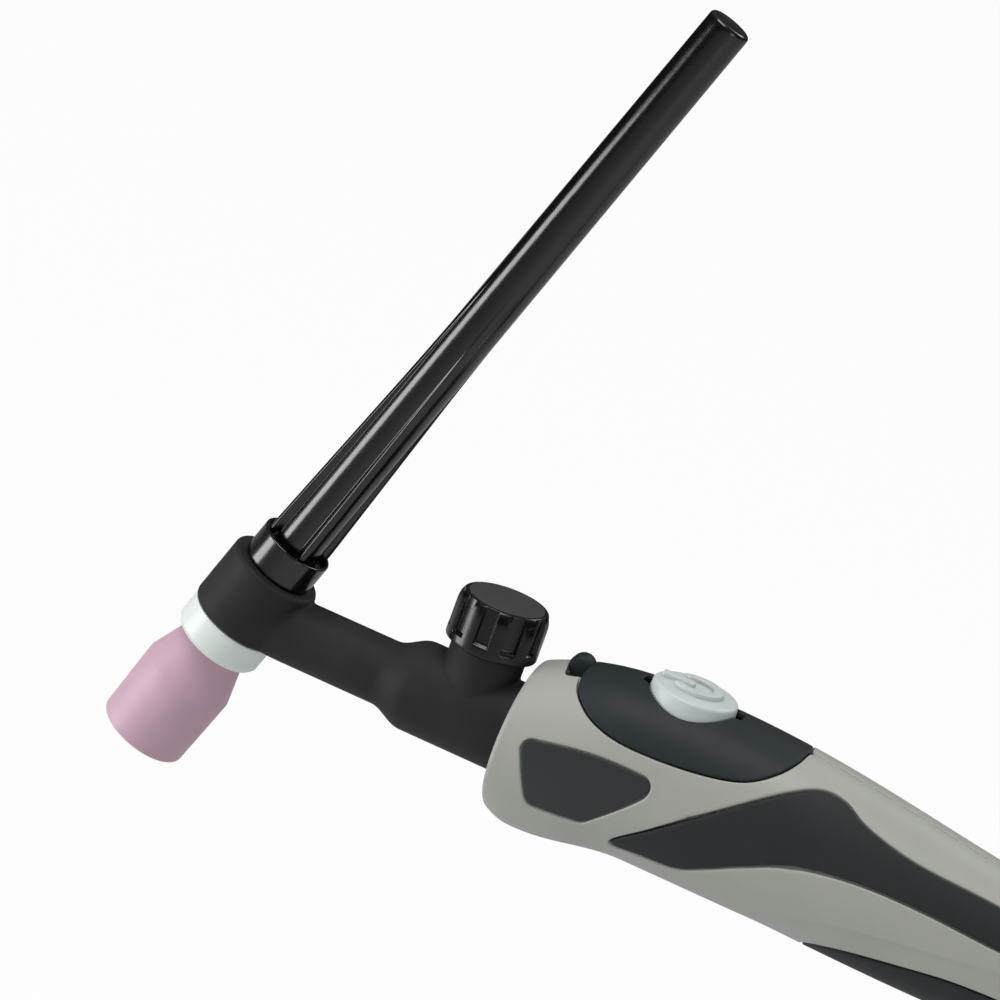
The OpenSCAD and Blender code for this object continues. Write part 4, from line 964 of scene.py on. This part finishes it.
TIP_EDGE, BORE_END = 0.8, 150
shape = rounded([(CAP_BORE_R, CAP_START), (4.9, CAP_START), (4.9, CAP_LOW),
                 (COLLAR_R, CAP_LOW, 0.35), (COLLAR_R, COLLAR_TOP, 0.35),
                 (RECESS_R, COLLAR_TOP, 0.2), (RECESS_R, BODY_LOW), (ROOT_R + 0.02, BODY_LOW)],
                4, closed=False)
shape += [(ROOT_R + (TIP_R - ROOT_R) * t, BODY_LOW + 0.03 + (CAP_TOP - 0.83 - BODY_LOW) * t)
          for t in np.linspace(0, 1, 90)]
shape += [(TIP_R - TIP_EDGE + TIP_EDGE * math.cos(a), CAP_TOP - TIP_EDGE + TIP_EDGE * math.sin(a))
          for a in np.radians(range(15, 91, 15))]
shape += [(3.0, CAP_TOP - 0.08), (2.2, CAP_TOP - 0.18), (1.1, CAP_TOP - 0.27), (0, CAP_TOP - 0.3),
          (0, BORE_END), (CAP_BORE_R, BORE_END)]
spread = np.radians(np.concatenate([np.arange(-16, 16.1, 0.8), np.arange(20, 71, 3.6)]))
around = np.sort(np.concatenate([f + spread for f in RIBS]) % (2 * math.pi))
piece("back_cap_moulding", *turned(shape, change=cap_radius, angles=around), CAP, "back_cap",
      "back_cap", at=HEAD, replaces=["back_cap"])

# ---- Gasket, cup and electrode -------------------------------------------------------
GASKET_TOP, GASKET_BOTTOM, CUP_TOP, CUP_MOUTH = -2.75, -9.3, -4.7, -34.7
CUP_THREAD_R, CUP_NECK_R, CUP_BORE_R = 4.95, 6.8, 6.35
shape = rounded([(CUP_THREAD_R, GASKET_TOP), (9.5, GASKET_TOP, 0.2),
                 (9.45, GASKET_BOTTOM + 0.9, 0.2), (8.8, GASKET_BOTTOM, 0.2),
                 (7.0, GASKET_BOTTOM, 0.15), (7.0, CUP_TOP + 0.1), (CUP_THREAD_R, CUP_TOP + 0.1)])
piece("cup_gasket_ring", *turned(split(shape, 0.7), 120), GASKET, "cup_lift", "gasket", at=HEAD,
      replaces=["cup_gasket"])
shape = rounded([(CUP_THREAD_R, CUP_TOP), (CUP_NECK_R, CUP_TOP, 0.3),
                 (CUP_NECK_R, GASKET_BOTTOM, 0.6), (9.7, -18.8, 2.6), (9.4, CUP_MOUTH, 0.5),
                 (CUP_BORE_R, CUP_MOUTH, 0.55), (CUP_BORE_R, -16.2), (CUP_THREAD_R, -13.2)], 6)
piece("gas_cup_ceramic", *turned(split(shape, 0.9), 120), CUP, "gas_cup", "cup", at=HEAD,
      replaces=["gas_cup"])
ELECTRODE_R, POINT, CONE_TOP, ELECTRODE_TOP = 1.2, -36.7, -31.7, 138.3
shape = [(0, POINT), (0.15, POINT + 0.05), (ELECTRODE_R, CONE_TOP), (ELECTRODE_R, ELECTRODE_TOP),
         (0, ELECTRODE_TOP)]
piece("tungsten_electrode", *turned(split(shape, 4), 32), TUNGSTEN, "electrode", "tungsten",
      at=HEAD, replaces=["electrode"])

# ---- Camera, lights and floor --------------------------------------------------------
scene = bpy.context.scene
AZ, EL, ROLL = (math.radians(v) for v in (13.201, 15.896, 19.847))
CAMERA_AT, LENS = (-0.018905, -0.633903, 0.22733), 126
toward = Vector((math.cos(EL) * math.sin(AZ), -math.cos(EL) * math.cos(AZ), math.sin(EL)))
right = (-toward).cross(Vector((0, 0, 1))).normalized()
up = right.cross(-toward)
right_rolled = math.cos(ROLL) * right + math.sin(ROLL) * up
up_rolled = -math.sin(ROLL) * right + math.cos(ROLL) * up
camera = bpy.data.objects.new("camera", bpy.data.cameras.new("camera"))
scene.collection.objects.link(camera)
camera.data.lens, camera.data.sensor_width, camera.data.sensor_fit = LENS, 36, "HORIZONTAL"
camera.data.clip_start, camera.data.clip_end = 0.01, 30
turn = Matrix((right_rolled, up_rolled, toward)).transposed()
camera.matrix_world = Matrix.Translation(CAMERA_AT) @ turn.to_4x4()
scene.camera = camera


def lamp(name, place, aim, size, power):
    """A white area lamp at a place in metres, turned towards aim."""
    data = bpy.data.lights.new(name, "AREA")
    data.shape, data.size, data.size_y = "RECTANGLE", size[0], size[1]
    data.energy = power
    obj = bpy.data.objects.new(name, data)
    scene.collection.objects.link(obj)
    obj.location = place
    obj.rotation_mode = "QUATERNION"
    obj.rotation_quaternion = (Vector(aim) - Vector(place)).to_track_quat("-Z", "Y")


MIDDLE = (-0.16, 0, 0.03)
lamp("left", (-0.80, -0.28, -0.03), (-0.17, 0, 0.03), (0.28, 0.42), 2.75)
lamp("top", (-0.3, -0.3, 1.0), MIDDLE, (0.6, 0.6), 6.0)
lamp("fill", (0.7, -0.72, 0.12), MIDDLE, (0.4, 0.5), 1.6)
lamp("rim", (0.25, 0.75, 0.75), MIDDLE, (0.6, 0.3), 2.0)

world = bpy.data.worlds.new("studio")
scene.world = world
world.use_nodes = True
tree = world.node_tree
nodes, links = tree.nodes, tree.links
background = nodes["Background"]
background.inputs["Color"].default_value = (1, 1, 1, 1)
path = nodes.new("ShaderNodeLightPath")
# The camera sees white, matte surfaces get the ambient light, and reflections see a room that
# is dark at eye level and paler above
AMBIENT = 0.5
direction = nodes.new("ShaderNodeSeparateXYZ")
links.new(nodes.new("ShaderNodeTexCoord").outputs["Generated"], direction.inputs[0])
room = nodes.new("ShaderNodeMapRange")
room.interpolation_type = "SMOOTHSTEP"
for socket, value in (("From Min", 0.05), ("From Max", 0.95), ("To Min", 0.02), ("To Max", 0.22)):
    room.inputs[socket].default_value = value
links.new(direction.outputs["Z"], room.inputs["Value"])
seen = math_node(tree, "MAXIMUM", path.outputs["Is Camera Ray"],
                 path.outputs["Is Transmission Ray"])
darker = math_node(tree, "SUBTRACT", room.outputs[0], AMBIENT)
mirrored = math_node(tree, "MULTIPLY", path.outputs["Is Glossy Ray"], darker)
strength = math_node(tree, "MAXIMUM", seen, math_node(tree, "ADD", mirrored, AMBIENT))
links.new(strength, background.inputs["Strength"])

# The floor: light grey to the lamps, and nearly white to the camera
FLOOR_HALF, FLOOR_Z, WHITE_SHARE = 6.0, -0.3, 0.965
floor_mesh = bpy.data.meshes.new("floor")
corners = [(FLOOR_HALF * x, FLOOR_HALF * y, FLOOR_Z)
           for x, y in ((-1, -1), (1, -1), (1, 1), (-1, 1))]
floor_mesh.from_pydata(corners, [], [(0, 1, 2, 3)])
floor = bpy.data.objects.new("floor", floor_mesh)
scene.collection.objects.link(floor)
pale = bpy.data.materials.new("floor_pale")
pale.use_nodes = True
nodes, links = pale.node_tree.nodes, pale.node_tree.links
principled = nodes["Principled BSDF"]
principled.inputs["Base Color"].default_value = (0.6, 0.6, 0.6, 1)
principled.inputs["Roughness"].default_value = 0.9
glow = nodes.new("ShaderNodeEmission")
glow.inputs["Strength"].default_value = 1.0
path = nodes.new("ShaderNodeLightPath")
share = math_node(pale.node_tree, "MULTIPLY", path.outputs["Is Camera Ray"], WHITE_SHARE)
mix = nodes.new("ShaderNodeMixShader")
links.new(share, mix.inputs[0])
links.new(principled.outputs[0], mix.inputs[1])
links.new(glow.outputs[0], mix.inputs[2])
links.new(mix.outputs[0], nodes["Material Output"].inputs["Surface"])
floor_mesh.materials.append(pale)

scene.view_settings.view_transform = "Standard"
